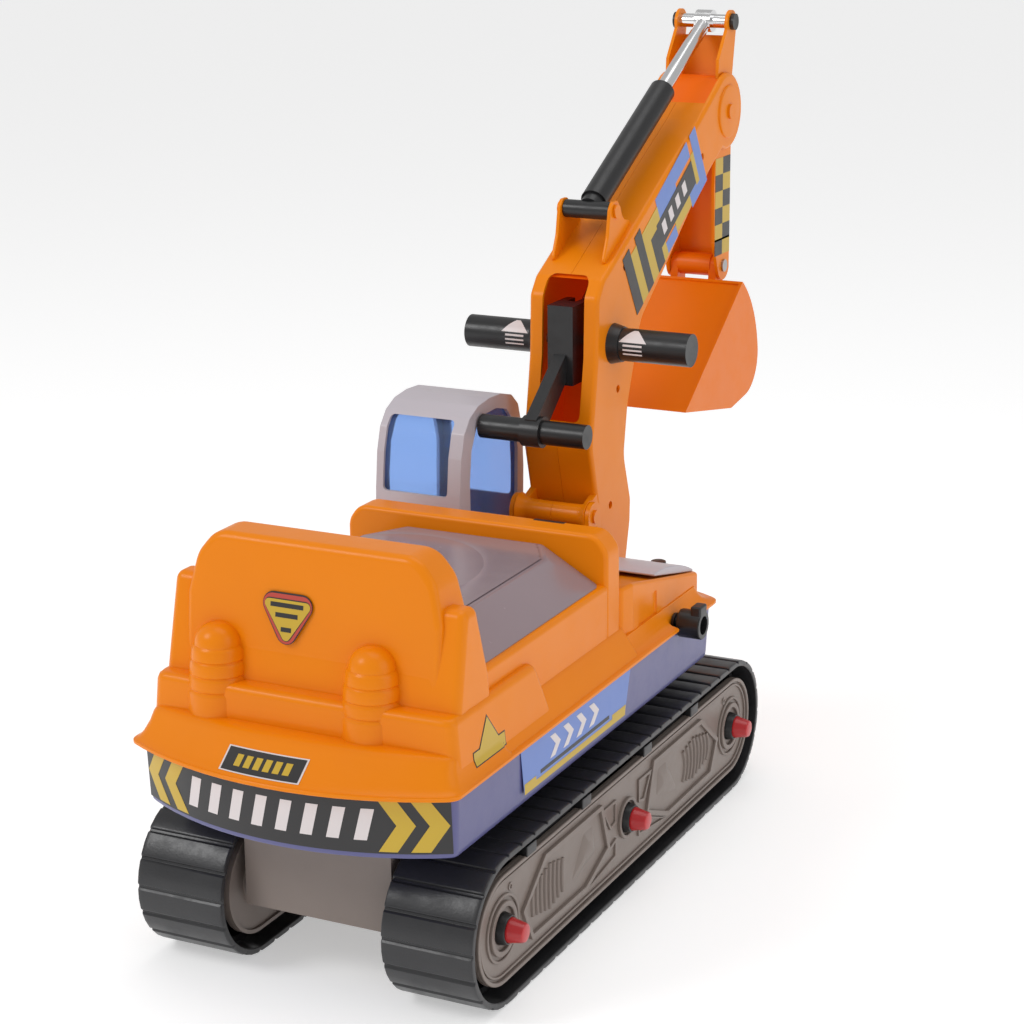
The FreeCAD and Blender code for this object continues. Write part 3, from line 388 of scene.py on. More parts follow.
def loft(axis, rings, closed=True):
    """A skin over outlines with equal numbers of points, each given with its level along an axis."""
    lump = bmesh.new()
    rows = [[lump.verts.new(place(axis, level, *point)) for point in outline] for level, outline in rings]
    bridge(lump, rows)
    if closed:
        lump.faces.new(rows[0])
        lump.faces.new(rows[-1])
    return outward(lump)


def turned(axis, centre, profile, steps=48):
    """A turned shape about an axis: a list of (level, radius) from one end to the other."""
    lump = bmesh.new()
    rows = []
    for level, radius in profile:
        if radius < 0.01:
            rows.append([lump.verts.new(place(axis, level, *centre))])
        else:
            rows.append([lump.verts.new(place(axis, level, *point))
                         for point in circle(centre, radius, steps)])
    for low, high in zip(rows, rows[1:]):
        for k in range(steps):
            ring = [low[k - 1], low[k], high[k], high[k - 1]] if len(low) > 1 and len(high) > 1 else (
                [low[0], high[k], high[k - 1]] if len(high) > 1 else [low[k - 1], low[k], high[0]])
            lump.faces.new(ring)
    for row in (rows[0], rows[-1]):
        if len(row) > 1:
            lump.faces.new(row)
    return outward(lump)


def swept(path, radius, steps=10):
    """A round bar along a path of points."""
    lump = bmesh.new()
    rows = []
    points = [Vector(point) for point in path]
    for k, point in enumerate(points):
        run = (points[min(k + 1, len(points) - 1)] - points[max(k - 1, 0)]).normalized()
        side = run.cross(Vector((1, 0, 0)) if abs(run.x) < 0.9 else Vector((0, 0, 1))).normalized()
        other = run.cross(side)
        rows.append([lump.verts.new(point + (side * math.cos(a) + other * math.sin(a)) * radius)
                     for a in (2 * math.pi * n / steps for n in range(steps))])
    bridge(lump, rows)
    lump.faces.new(rows[0])
    lump.faces.new(rows[-1])
    return outward(lump)


def stadium(radius, half=230.0, steps=24, level=60.7):
    """The long round-ended outline of the track pieces, as (along, up) points."""
    points = [(half + radius * math.sin(math.pi * k / steps), level - radius * math.cos(math.pi * k / steps))
              for k in range(steps + 1)]
    return points + [(-y, 2 * level - z) for y, z in points]


HUBS = (-230.0, 0.0, 230.0)


def frame_bar(points, width, low, high):
    """A raised moulded line along a path of (along, up) points, on the cover's face."""
    outer, inner = inset(points, -width / 2), inset(points, width / 2)
    return slab("X", outer, low, high, 0.5, 2, holes=[inner])


def track_cover():
    """The right outer cover: a plate with rims, hub rings, framed panels, louvres and troughs."""
    face = 139.4
    lumps = [slab("X", stadium(44), 135.6, face, 0.8)]
    lumps.append(slab("X", stadium(44), face - 0.5, 142.3, 0.9, 3, holes=[stadium(40.6)]))
    lumps.append(slab("X", stadium(38.6), face - 0.5, 141.0, 0.6, 2, holes=[stadium(36.6)]))
    for hub in HUBS:
        ends = hub != 0
        centre = (hub, HUB_LEVEL)
        rings = ((27, 24.5, 141.2), (21.5, 17, 142.2)) if ends else ((17.5, 14.5, 142.2),)
        for outer, inner, top in rings:
            lumps.append(slab("X", circle(centre, outer, 48), face - 0.5, top, 0.8, 3,
                              holes=[circle(centre, inner, 48)]))
    for end in (-1, 1):
        hexagon = [(end * y, z) for y, z in ((196, 60), (182, 33), (84, 32), (40, 50), (54, 90), (158, 90))]
        lumps.append(frame_bar(hexagon[::end], 4.2, face - 0.5, 142.2))
        for k in range(8):
            y = end * (176 - 7.6 * k)
            reach = 19 - abs(k - 4) * 1.6
            curve = arc((y - 2, 61 - reach), (y + 3 * end, 61), (y - 2, 61 + reach), 8)
            lumps.append(swept([(face + 0.1, *point) for point in curve], 1.9, 8))
        lumps.append(loft("X", [(face - 0.4, rounded([(end * 112, 42), (end * 62, 55), (end * 66, 80),
                                                      (end * 84, 80)], 3)),
                                (face + 3.0, rounded([(end * 96, 56), (end * 72, 62), (end * 72, 70),
                                                      (end * 80, 72)], 2))]))
        lumps.append(frame_bar([(end * y, z) for y, z in ((24, 84), (48, 84), (34, 64), (24, 66))][::end],
                               2.6, face - 0.5, 141.2))
        lumps.append(frame_bar([(end * y, z) for y, z in ((24, 36), (78, 30), (38, 46), (24, 50))][::end],
                               2.6, face - 0.5, 141.2))
        lumps.append(turned("X", (end * 216, 89), [(face - 0.4, 3.4), (face + 0.9, 3.2), (face + 0.9, 1.8),
                                                   (face - 0.2, 1.6)], 20))
    return together(*lumps)


for side, shape in sides(track_cover()):
    piece(f"{side}_outer_cover", shape, "undercarriage", TAUPE, [f"outer_cover_{side}"])
keep(["inner_cover_left", "inner_cover_right"], TAUPE, 0.8)

# ---------------------------------------------------------------- hub caps
# Soft red caps pushed over the axle ends, tapering to a flat tip, each in a black socket.

RED = finish("red plastic", (0.56, 0.018, 0.022), (0.48, 0.012, 0.016), (0.28, 0.4), 0.2)


def hub_caps():
    """The right side's three caps, and the sockets that they sit in."""
    caps, sockets = [], []
    for hub in HUBS:
        centre = (hub, HUB_LEVEL)
        caps.append(turned("X", centre, [(140.0, 9.0), (146.6, 9.9), (148.4, 9.8), (149.2, 9.3), (158.0, 7.6),
                                         (159.3, 6.9), (159.9, 5.4), (159.9, 0)], 40))
        sockets.append(turned("X", centre, [(139.2, 12.9), (145.6, 11.6), (146.6, 11.1), (146.8, 10.3),
                                            (139.8, 10.1)], 40))
    return together(*caps), together(*sockets)


caps, sockets = hub_caps()
for side, shape in sides(caps):
    piece(f"{side}_hub_caps", shape, "undercarriage", RED, [f"hub_caps_{side}"])
for side, shape in sides(sockets):
    piece(f"{side}_hub_sockets", shape, "undercarriage", BLACK)

# ---------------------------------------------------------------- house tray
# The blue tray that the orange shell closes; its rear and front walls bow outwards in plan.
# A black ring under it runs on the undercarriage.

BLUE = finish("blue violet plastic", (0.105, 0.105, 0.26), (0.09, 0.09, 0.235), (0.3, 0.42), 0.1)


def carve(base, *tools):
    """A lump with other lumps cut out of it."""
    objects = []
    for lump in (base, *tools):
        carrier = bpy.data.meshes.new("carrier")
        lump.to_mesh(carrier)
        thing = bpy.data.objects.new("carrier", carrier)
        bpy.context.scene.collection.objects.link(thing)
        objects.append(thing)
    for tool in objects[1:]:
        modifier = objects[0].modifiers.new("cut", "BOOLEAN")
        modifier.operation = "DIFFERENCE"
        modifier.solver = "EXACT"
        modifier.object = tool
    bpy.context.view_layer.update()
    shape = objects[0].evaluated_get(bpy.context.evaluated_depsgraph_get())
    result = bmesh.new()
    result.from_mesh(shape.to_mesh())
    shape.to_mesh_clear()
    for thing in objects:
        carrier = thing.data
        bpy.data.objects.remove(thing)
        bpy.data.meshes.remove(carrier)
    return result


keep(["turntable_ring"], BLACK, 0.5)


def bowed(half, rear, rear_bow, front, front_bow, corner=12.0):
    """A plan outline with bowed ends and rounded corners, always with the same number of points."""
    back = arc((-half, -rear), (0, -rear - rear_bow - 0.01), (half, -rear), 16)
    nose = arc((half, front), (0, front + front_bow + 0.01), (-half, front), 16)
    corners = [(*back[0], corner)] + [(*p, 0.0) for p in back[1:-1]] + [(*back[-1], corner)]
    corners += [(*nose[0], corner)] + [(*p, 0.0) for p in nose[1:-1]] + [(*nose[-1], corner)]
    return rounded(corners, corner, 5)


def bow_y(x, half, rear, rear_bow):
    """Where the bowed rear wall lies at a place across it."""
    radius = (half * half + rear_bow * rear_bow) / (2 * rear_bow)
    return -(rear + rear_bow) + radius - math.sqrt(radius * radius - x * x)


tray = loft("Z", [(level, bowed(133.4 - drop, 288 - drop, 36, 198 - drop, 38, 9)) for level, drop in (
    (137.2, 5.5), (137.9, 3.4), (139.6, 2.4), (143, 2.0), (185, 0.2), (187, 0.1))])
tray = carve(tray, slab("Z", bowed(129, 284, 36, 194, 38, 7), 142, 190),
             turned("X", (128, 190), [(125, 5.6), (136, 5.6)], 32))
piece("tray", tray, "house", BLUE, ["tray"])

# ---------------------------------------------------------------- orange body shell
# One hollow orange moulding: a lip over the tray, two ledges and a high back at the rear with two ribbed
# domes, low side rails, a hoop in front of the seat, and two sloping fenders with a trough for the boom.

ORANGE = finish("orange plastic", (0.88, 0.248, 0.002), (0.83, 0.222, 0.001), (0.3, 0.4), 0.05,
                relief=0.05, specular=0.2)
# This black is used for the printed labels, and also as painted shade for the hoop's slit.
BLACK_PRINT_AND_SLIT_SHADE = finish("black label print and painted slit shade", (0.022, 0.021, 0.022), (0.018, 0.017, 0.018), (0.34, 0.44),
                   relief=0.0)

KNOB = (128, 190)
FENDER_TOP, FENDER_FALL, SLOPE_START = 246, 0.235, 60


def fender_level(y):
    """Height of the fenders' tops, which slope down towards the front."""
    return FENDER_TOP - FENDER_FALL * (max(y, SLOPE_START) - SLOPE_START)


BACK_FOOT, BACK_LEAN = 240, 0.145


def house_shell():
    """The overlapping lumps of the shell, from the lip over the tray up to the hoop and the fenders."""
    lumps = []
    skirt = loft("Z", [(level, bowed(half, 297 + (half - 139) * (3 if half < 137 else 1), 36,
                                     201 + half - 139, 38, 12)) for level, half in (
        (187.0, 138.4), (187.6, 139.0), (189.6, 139.0), (190.2, 138.4), (190.6, 136.9), (191.4, 133.0),
        (193.5, 129.5), (198, 126.5), (205, 124))])
    lumps.append(slab("Y", [(-136, 190), (136, 190), (122, 211), (118, 214), (-118, 214), (-122, 211)],
                      -214, 34, 2.5, 3))
    trough = block((-41, 41), (30, 262), (180, 260))
    lumps.append(carve(skirt, trough, turned("X", KNOB, [(127, 16.5), (142, 16.5)], 48)))
    lumps.append(loft("Z", [(level, bowed(half, rear, bow, -199 - (level - 190) * 0.5, 0, 15))
                            for level, half, rear, bow in (
        (188.5, 138.0, 296.0, 35.6), (190.4, 137.6, 295.6, 35.4), (192, 135.6, 293.4, 34),
        (195, 133.6, 291.2, 32), (203, 130.0, 287.4, 25), (209.5, 128.6, 284.4, 19.4),
        (212.2, 127.0, 282.4, 17.6), (213.6, 125.2, 279.8, 17), (214, 121, 275.6, 17))]))
    lumps.append(loft("Z", [(level, bowed(half, rear, 3, -199 - (level - 190) * 0.42 - (240 - rear - 39.5),
                                          0, 13))
                            for level, half, rear in (
        (188, 134.5, 281), (194, 131.6, 280.6), (200, 130.6, 280.2), (234, 127.4, 279.5),
        (237.4, 126.2, 278.4), (239.4, 123.9, 276.1), (240, 120, 272.2))]))
    shoulders = slab("X", rounded([(-268, 190), (-205, 190), (-214, 256), (-231, 312), (-251, 312, 8),
                                   (-267, 240, 30)], 7, 5), -125, 125, 7.5, 5)
    for vert in shoulders.verts:
        vert.co.x *= 1 - 0.012 * max(0, vert.co.z - BACK_FOOT) / 78
    lumps.append(shoulders)
    back = slab("Y", rounded([(-109, 200), (109, 200), (108, 300, 12), (101, 330, 26), (86, 348.5, 22),
                              (-86, 348.5, 22), (-101, 330, 26), (-108, 300, 12)], 6, 6),
                -268, -212, 10, 5)
    for vert in back.verts:
        lean = max(0, vert.co.z - BACK_FOOT)
        vert.co.y += (lean * BACK_LEAN if vert.co.y < -240 else -lean * 0.05)
    lumps.append(back)
    lumps.append(block((-120, 120), (-226, 8), (186, 257), 4.5, 4))
    lumps.append(slab("Y", rounded([(-120, 186), (120, 186), (120, 284, 17), (110, 298, 17),
                                    (-110, 298, 17), (-120, 284, 17)], 4, 7), 4, 31, 7.5, 5))
    for side, half in ((1, 123), (-1, 134)):
        plan = [(side * 41, 26), (side * (half - 3), 30, 8), (side * half, 50, 10), (side * half, 197, 12),
                (side * 80, 214, 30), (side * 41, 228, 6)]
        fender = slab("Z", rounded(plan[::side], 3, 5), 187.5, FENDER_TOP, 6, 4,
                      only=lambda middle: middle.z > 230 or abs(middle.x) < 50)
        for vert in fender.verts:
            vert.co.z -= (FENDER_TOP - fender_level(vert.co.y)) * min(1, max(0, (vert.co.z - 192) / 40))
        if side > 0:
            fender = carve(fender, block((121.4, 130), (62, 100), (200, 226), 1.2))
        lumps.append(fender)
    return lumps


def ribbed_dome(x):
    """A ribbed, round-topped pillar like a lamp, moulded on the ledge."""
    profile = [(208 + (level - 208) * 0.945, radius * 1.09) for level, radius in [
               (208, 23.4), (214, 23.2), (216, 22.6), (230, 22.2), (232, 21.0), (233.2, 20.8), (234.2, 21.6),
               (242, 21.3), (244, 20.2), (245, 20.0), (246, 20.8), (254, 20.2), (256, 18.9), (257, 18.6),
               (258, 19.4), (265.5, 18.5), (267.6, 17.1), (268.6, 16.4), (269.6, 16.6), (275, 15.6),
               (279, 13.6), (282.4, 10.4), (284.6, 6.0), (285.4, 0)]]
    return turned("Z", (x, -264), profile, 48)


shell_lumps = house_shell() + [ribbed_dome(-78), ribbed_dome(54)]
piece("body_shell", together(*shell_lumps), "house", ORANGE, ["body_shell"])
# The slit in the hoop's top is not cut. A thin black strip lies there instead, as painted shade for the dark
# gap.
piece("hoop_slit_painted_shade", block((44, 72), (24.5, 29), (296.5, 298.15), 0.1, 1), "house", BLACK_PRINT_AND_SLIT_SHADE)

# ---------------------------------------------------------------- seat
# A rigid seat moulded in satin mauve plastic and dropped in between the back and the hoop.
# It has steep sides, cut front corners and a shallow dish.

MAUVE = finish("mauve plastic", (0.31, 0.23, 0.25), (0.28, 0.208, 0.226), (0.2, 0.3), 0.15, relief=0.02)


def sheet(shape, across, along):
    """A thin surface from shape(s, t), with s and t from 0 to 1."""
    lump = bmesh.new()
    rows = [[lump.verts.new(shape(i / across, j / along)) for i in range(across + 1)]
            for j in range(along + 1)]
    for low, high in zip(rows, rows[1:]):
        for k in range(across):
            lump.faces.new((low[k], low[k + 1], high[k + 1], high[k]))
    return lump


def seat_top(x, y):
    """Height of the seat's top: a shallow dish inside a curved ridge."""
    reach = math.hypot((x + 30) / 84, (y + 110) / 96)
    dish = 1 / (1 + math.exp((reach - 0.95) * 22))
    return 286.3 - 2.6 * dish


def seat_shape():
    """The seat: sloping sides under a dished top."""
    top = [(84, -214), (84, -34), (62, 4), (-62, 4), (-84, -34), (-84, -214)]
    foot = [(115.5, -214), (115.5, -4), (112, 4.6), (-112, 4.6), (-115.5, -4), (-115.5, -214)]
    sides = loft("Z", [(256.8, foot), (285.6, top)])
    soften(sides, 2.2, 4)
    crown = sheet(lambda s, t: (-80 + 160 * s, -212 + 212 * t, seat_top(-80 + 160 * s, -212 + 212 * t)),
                  80, 100)
    inside = [face for face in crown.faces
              if abs(face.calc_center_median().x) > 80 - max(0, face.calc_center_median().y + 36) * 0.58]
    bmesh.ops.delete(crown, geom=inside, context="FACES")
    return together(sides, crown)


piece("seat", seat_shape(), "house", MAUVE, ["seat"], 30)

# ---------------------------------------------------------------- cab
# A pale grey moulded hood that clips into the left fender, with an arched opening on each side and windows
# behind and ahead. Clear blue glazing lines it.

PALE = finish("pale grey plastic", (0.55, 0.50, 0.54), (0.50, 0.46, 0.50), (0.34, 0.46), 0.05)
WINDOW = bpy.data.materials.new("clear blue plastic")
WINDOW.use_nodes = True
window_tree = WINDOW.node_tree
window_shader = window_tree.nodes["Principled BSDF"]
window_marks = add(window_tree, "ShaderNodeGroup", node_tree=skin)
window_marks.inputs["Wave"].default_value = 0.05
window_marks.inputs["Relief"].default_value = 0.01
window_tree.links.new(window_marks.outputs["Normal"], window_shader.inputs["Normal"])
window_shader.inputs["Base Color"].default_value = (0.52, 0.68, 0.97, 1)
window_shader.inputs["Roughness"].default_value = 0.06
window_shader.inputs["Transmission Weight"].default_value = 0.92
window_shader.inputs["IOR"].default_value = 1.2

CAB = [(76, 242), (79, 292), (82.5, 324), (89, 345), (100, 357.5), (116, 364.5), (138, 367), (160, 366),
       (181, 360.5), (194, 349.5), (202, 325), (204, 290), (203, 256), (199, 214)]


def cab():
    """The hood with its openings, and the glazing that lines it."""
    left, right = -134.6, -51.9
    outline = rounded([(y, z, 0 if k in (0, len(CAB) - 1) else 6) for k, (y, z) in enumerate(CAB)], 6, 3)
    outer = slab("X", outline, left, right, 7, 5, only=lambda m: m.z > 240)
    core = inset(outline, 3)
    legs = [(core[0][0], core[0][1] - 30)], [(core[-1][0], core[-1][1] - 30)]
    inner = slab("X", legs[0] + core + legs[1], left + 3, right - 3, 4, 3, only=lambda middle: middle.z > 240)
    side = slab("X", rounded([(98, 300), (102, 328), (112, 346), (130, 354.5), (150, 355), (170, 350),
                              (184, 336), (192, 310), (190, 244), (99, 256)], 7, 4),
                left - 5, right + 5)
    behind = slab("Y", rounded([(left + 7, 290), (right - 12.5, 290), (right - 12.5, 354.5),
                                (left + 7, 354.5)], 4, 4), 60, 111)
    ahead = slab("Y", rounded([(left + 11, 262), (right - 12, 262), (right - 12, 336), (left + 11, 336)],
                              5, 4), 182, 215)
    hood = carve(outer, inner, side, behind, ahead)
    pane = slab("X", inset(outline, 3.5), left + 3.5, right - 3.5, 4, 3)
    pane_core = slab("X", inset(outline, 4.7), left + 4.7, right - 4.7, 3, 3)
    return hood, carve(pane, pane_core)


hood, panes = cab()
piece("cab_hood", hood, "house", PALE, ["cab_shell"])
piece("cab_glazing", panes, "house", WINDOW, ["cab_glazing"])

# ---------------------------------------------------------------- deck plate, plug and knob
# A crowned pale grey plate is let into the right fender, with a black plug pressed in it.
# A black moulded knob turns on a stem in the tray's side.

deck_line = arc((108, fender_level(108) + 2.4), (151, fender_level(151) + 7.6),
                (194, fender_level(194) + 2.4), 12)
deck = slab("X", [(108, fender_level(108)), (194, fender_level(194))] + deck_line[::-1], 45.2, 117.8, 1.2, 3)
piece("deck_plate", deck, "house", PALE, ["deck_plate"])
piece("deck_plug", turned("Z", (94, 172), [(219.8, 6.6), (226, 6.9), (227.2, 6.6), (227.6, 5.6),
                                           (227.7, 0)], 32),
      "house", BLACK, ["deck_plug"])

knob_drum = carve(
    turned("X", KNOB, [(127.8, 7.8), (130, 7.8), (130.1, 4.9), (134, 4.9), (134.1, 12.0), (135, 12.4),
                       (153.6, 12.4), (154.8, 11.7), (154.9, 0)], 48),
    turned("X", KNOB, [(139, 7.4), (157, 8.2)], 40))
knob_tab = block((145.2, 154.9), (120.4, 135.6), (197, 207.8), 1.8, 3)
piece("turn_knob", together(knob_drum, knob_tab), "knob", BLACK, ["knob"])

# ---------------------------------------------------------------- boom foot
# An orange bracket in the trough carries the boom. A pin goes through the bracket and the boom's sleeve, and
# its orange heads show at both ends.

keep(["boom_bracket"], ORANGE, 0.8)
keep(["boom_foot_pin"], ORANGE, 1.2, 3)

# ---------------------------------------------------------------- boom
# Two orange half shells screwed together down the middle, hollow, with a slot for the lever at the rear,
# a fork at the top for the stick, and two ears that hold the ram's foot.

# The lining inside the hollow boom is a deeper red-orange and glows faintly. The glow is painted light, not a
# lamp.
LINING_PAINTED_GLOW = finish("inner orange plastic with painted glow", (0.95, 0.17, 0.002), (0.9, 0.15, 0.001), (0.4, 0.5), specular=0.2)
LINING_PAINTED_GLOW.node_tree.nodes["Principled BSDF"].inputs["Emission Color"].default_value = (0.9, 0.11, 0.004, 1)
LINING_PAINTED_GLOW.node_tree.nodes["Principled BSDF"].inputs["Emission Strength"].default_value = 0.06

BOOM_HINGE = (160, 264)
STICK_HINGE = (480, 580)
SCREWS = [(206, 262), (222, 365), (236, 472), (330, 500), (415, 545)]


def boom_half():
    """The right half shell from the seam outwards, with its ears, bosses, sleeve and screw recesses."""
    edge = [(241, 193, 0), (252, 236, 16), (253, 257, 16), (238, 301, 30), (246, 345, 40), (275, 417, 24),
            (323, 450, 24), (403, 509, 30), (440, 531, 20), (467.5, 545.7, 0)]
    edge = rounded(edge + [(*point, 0) for point in arc((467.5, 545.7), (516.5, 580), (459.1, 609.9),
                                                        20)[1:-1]]
                   + [(459.1, 609.9, 0), (408, 580, 20), (342, 547, 30), (191, 468, 12), (179, 453, 12),
                      (177, 400, 40), (164, 323, 30), (177, 274, 30), (185, 244, 16), (185, 193, 0)], 0, 4)
    shell = slab("X", edge, 0.15, 33, 4.2, 4, only=lambda middle: middle.x > 32)
    core = slab("X", inset(edge, 3), -2, 30)
    slot = slab("Y", rounded([(-20, 344), (20, 344), (20, 470), (-20, 470)], 7, 4), 150, 204)
    fork = block((-28.5, 28.5), (430, 530), (470, 640))
    recesses = [turned("X", spot, [(22, 3.6), (35, 3.6)], 20) for spot in SCREWS]
    shell = carve(shell, core, slot, fork, *recesses)
    ear = slab("X", rounded([(204, 472), (272, 508), (250, 511, 12), (242.5, 524), (237, 530), (227, 530),
                             (221.5, 524), (217, 500, 12)], 4, 4), 22.4, 25.8, 1.2, 2)
    wells = [carve(turned("X", spot, [(21, 5.2), (31, 5.2)], 20), recess) for spot, recess in
             zip(SCREWS, recesses)]
    sleeve = turned("X", BOOM_HINGE, [(0.15, 9.2), (24, 9.4), (29, 10.6), (32.6, 13.4), (33.6, 13.8),
                                      (34, 13), (34, 4.2)], 40)
    web = slab("X", [(160, 255), (190, 250), (190, 284), (160, 273)], 26, 32.4, 1, 2)
    boss = turned("X", STICK_HINGE, [(32.8, 25.2), (34.2, 24.8), (34.9, 23.6), (34.9, 0)], 56)
    lining = slab("X", inset(edge, 3.1), 0, 29.9)
    open_side = [face for face in lining.faces if abs(face.normal.x) < 0.5
                 and face.calc_center_median().y < 206 and 330 < face.calc_center_median().z < 485]
    seam = [face for face in lining.faces if face.normal.x < -0.5]
    bmesh.ops.delete(lining, geom=open_side + seam, context="FACES_ONLY")
    return together(shell, ear, sleeve, web, boss, *wells), lining


boom_side, boom_lining = boom_half()
for side, shape in sides(boom_side):
    piece(f"boom_shell_{side}", shape, "boom", ORANGE, [f"boom_shell_{side}"])
# The lining carries the faint painted glow inside the boom.
piece("boom_lining", together(boom_lining, mirror(boom_lining)), "boom", LINING_PAINTED_GLOW)
screw_heads = together(*[turned("X", spot, [(12, 1.6), (25.6, 1.6), (25.6, 3.3), (27.2, 3.1), (27.9, 2.2),
                                            (27.9, 0)], 24) for spot in SCREWS])
piece("boom_screws", screw_heads, "boom", STEEL, ["boom_screws"])
keep(["peg_shaft"], STEEL, 0.3)
keep(["stick_pin", "ram_pin"], ORANGE, 1.2, 3)
keep(["peg_left", "peg_right"], BLACK, 1.6, 3)

# ---------------------------------------------------------------- control lever
# A black moulded lever that swings on the grips' shaft in the boom's slot, with a cross handle at its
# rear end. A steel rod inside the boom links it to the stick.

keep(["control_lever"], BLACK, 1.2)
keep(["lever_handle_bar"], BLACK, 1.8, 3)
keep(["link_rod", "link_pin_lever", "link_pin_stick"], STEEL, 0.3)

# ---------------------------------------------------------------- stick
# An orange moulded channel, open at the rear, that hinges in the boom's fork.
# A bright pin with black caps joins its top to the ram, and a steel pin holds the bucket.

CHROME = finish("chrome", (0.80, 0.80, 0.80), (0.74, 0.74, 0.75), (0.12, 0.26), metal=1.0, relief=0.02)

keep(["stick"], ORANGE, 0.9)
keep(["top_pin"], CHROME, 0.4)
keep(["top_pin_caps"], BLACK, 0.6)
keep(["bucket_pin"], STEEL, 0.4)

# ---------------------------------------------------------------- ram
# A black tube with a bright rod that slides in it. It reaches from the pin in the boom's ears to the stick's
# top pin.

keep(["ram_barrel"], BLACK, 0.8)
keep(["ram_rod"], CHROME, 0.5)

# ---------------------------------------------------------------- bucket
# A thin-walled orange scoop, moulded in one piece with a curved back. Its lugs hinge on the pin in the
# stick's lower end.

BUCKET_ORANGE = finish("scoop orange plastic", (0.88, 0.205, 0.003), (0.83, 0.18, 0.002), (0.34, 0.46), 0.03,
                       specular=0.22)

keep(["bucket"], BUCKET_ORANGE, 0.7)

# ---------------------------------------------------------------- labels
# Thin printed labels stuck on the tray, shell, boom, stick and grips, in plain stripes, arrows and bars.
# Each colour of print is laid a fraction of a millimetre off the one below it.

INK_YELLOW, INK_WHITE, INK_BLUE, INK_RED = [
    finish(f"{paint} label print", colour, deep, (0.34, 0.44), relief=0.0) for paint, colour, deep in (
        ("yellow", (0.60, 0.40, 0.03), (0.56, 0.37, 0.025)),
        ("white", (0.74, 0.68, 0.68), (0.70, 0.64, 0.64)),
        ("blue", (0.15, 0.25, 0.62), (0.13, 0.22, 0.56)),
        ("red", (0.52, 0.06, 0.04), (0.48, 0.05, 0.035)))]


def label(name, lump, body, material):
    """A printed patch as a piece of its own."""
    return piece(name, lump, body,
                 material, (), 60)


def on_rear(x, z, off=0.3):
    """A point on the tray's bowed rear wall."""
    drop = 2.0 - 1.8 * (z - 143) / 42
    return (x, bow_y(x, 133.4 - drop, 288 - drop, 36) - off, z)


def band_sheet(left, right, low, high, off, across=24, along=2):
    """A patch of the rear wall between slanted sides, each given as a function of height."""
    def shape(s, t):
        z = low + (high - low) * t
        return on_rear(left(z) + (right(z) - left(z)) * s, z, off)
    return sheet(shape, across, along)


label("rear_band", band_sheet(lambda z: -130.0, lambda z: 130.0, 142, 186, 0.25, 80, 2), "house", BLACK_PRINT_AND_SLIT_SHADE)


def slanted(centre, width, lean, low, high, off):
    """A slanted bar on the rear wall."""
    middle = (low + high) / 2
    return band_sheet(lambda z: centre - width / 2 + lean * (z - middle),
                      lambda z: centre + width / 2 + lean * (z - middle), low, high, off, 4, 6)


chevrons = []
for side in (-1, 1):
    for offset in (94, 116):
        for low, high in ((143.5, 164.5), (164.5, 185.5)):
            lean = (1 if low < 150 else -1) * side * 0.62
            chevrons.append(slanted(side * offset, 13, lean, low, high, 0.45))
label("rear_chevrons", together(*chevrons), "house", INK_YELLOW)
bars = [slanted(-72 + 20.5 * k, 9.5, 0.25, 152, 177, 0.45) for k in range(8)]
label("rear_bars", together(*bars), "house", INK_WHITE)


def on_wall(x, up, off):
    """A point on the slanted wall over the rear lip, up the number plate from 0 to 1."""
    level = 191.6 + 13.4 * up
    rings = [(192, 135.6, 293.4, 34), (195, 133.6, 291.2, 32), (203, 130.0, 287.4, 25),
             (209.5, 128.6, 284.4, 19.4)]
    below = max(k for k in range(3) if k == 0 or rings[k][0] <= level)
    share = (level - rings[below][0]) / (rings[below + 1][0] - rings[below][0])
    half, rear, bow = (a + (b - a) * share for a, b in zip(rings[below][1:], rings[below + 1][1:]))
    return (x, bow_y(x, half, rear, bow) - off, level + off * 0.6)


for name, paint, reach, low, high, off in (("plate_edge", INK_WHITE, 34.5, 0.02, 1.0, 0.25),
                                           ("plate_field", BLACK_PRINT_AND_SLIT_SHADE, 33, 0.07, 0.95, 0.4)):
    label(name, sheet(lambda s, t, reach=reach, low=low, high=high, off=off: on_wall(
        -8.5 - reach + 2 * reach * s, low + (high - low) * t, off), 20, 6), "house", paint)
dashes = [sheet(lambda s, t, k=k: on_wall(-32 + 8.4 * k + 5.4 * s, 0.27 + 0.46 * t, 0.55), 2, 3)
          for k in range(6)]
label("plate_dashes", together(*dashes), "house", INK_YELLOW)


def back_badge(grow, off):
    """A round-cornered triangle on the leaning face of the back."""
    outline = rounded([(-47 - grow, 310 + grow), (9 + grow, 310 + grow), (-19.5, 263 - grow * 1.6)],
                      9 + grow, 8)
    lump = slab("Y", outline, -268.2 - off, -267.9)
    for vert in lump.verts:
        vert.co.y += (vert.co.z - BACK_FOOT) * BACK_LEAN
    return lump


for name, paint, grow, off in (("badge_edge", BLACK_PRINT_AND_SLIT_SHADE, 0, 0.1), ("badge_ring", INK_RED, -1.2, 0.25),
                               ("badge_line", BLACK_PRINT_AND_SLIT_SHADE, -4.6, 0.4), ("badge_field", INK_YELLOW, -5.4, 0.55)):
    label(name, back_badge(grow, off), "house", paint)
badge_bars = [slab("Y", [(-19.5 - w, z), (-19.5 + w, z), (-19.5 + w, z + 3.4), (-19.5 - w, z + 3.4)],
                   -268.9, -267.9) for w, z in ((14, 299), (9.5, 291.5), (4.4, 281))]
badge_marks = together(*badge_bars)
for vert in badge_marks.verts:
    vert.co.y += (vert.co.z - BACK_FOOT) * BACK_LEAN
label("badge_marks", badge_marks, "house", BLACK_PRINT_AND_SLIT_SHADE)


def flat_patch(x, points, thick=0.25):
    """A thin flat label on a side face, from (along, up) points."""
    return slab("X", points, x, x + thick)


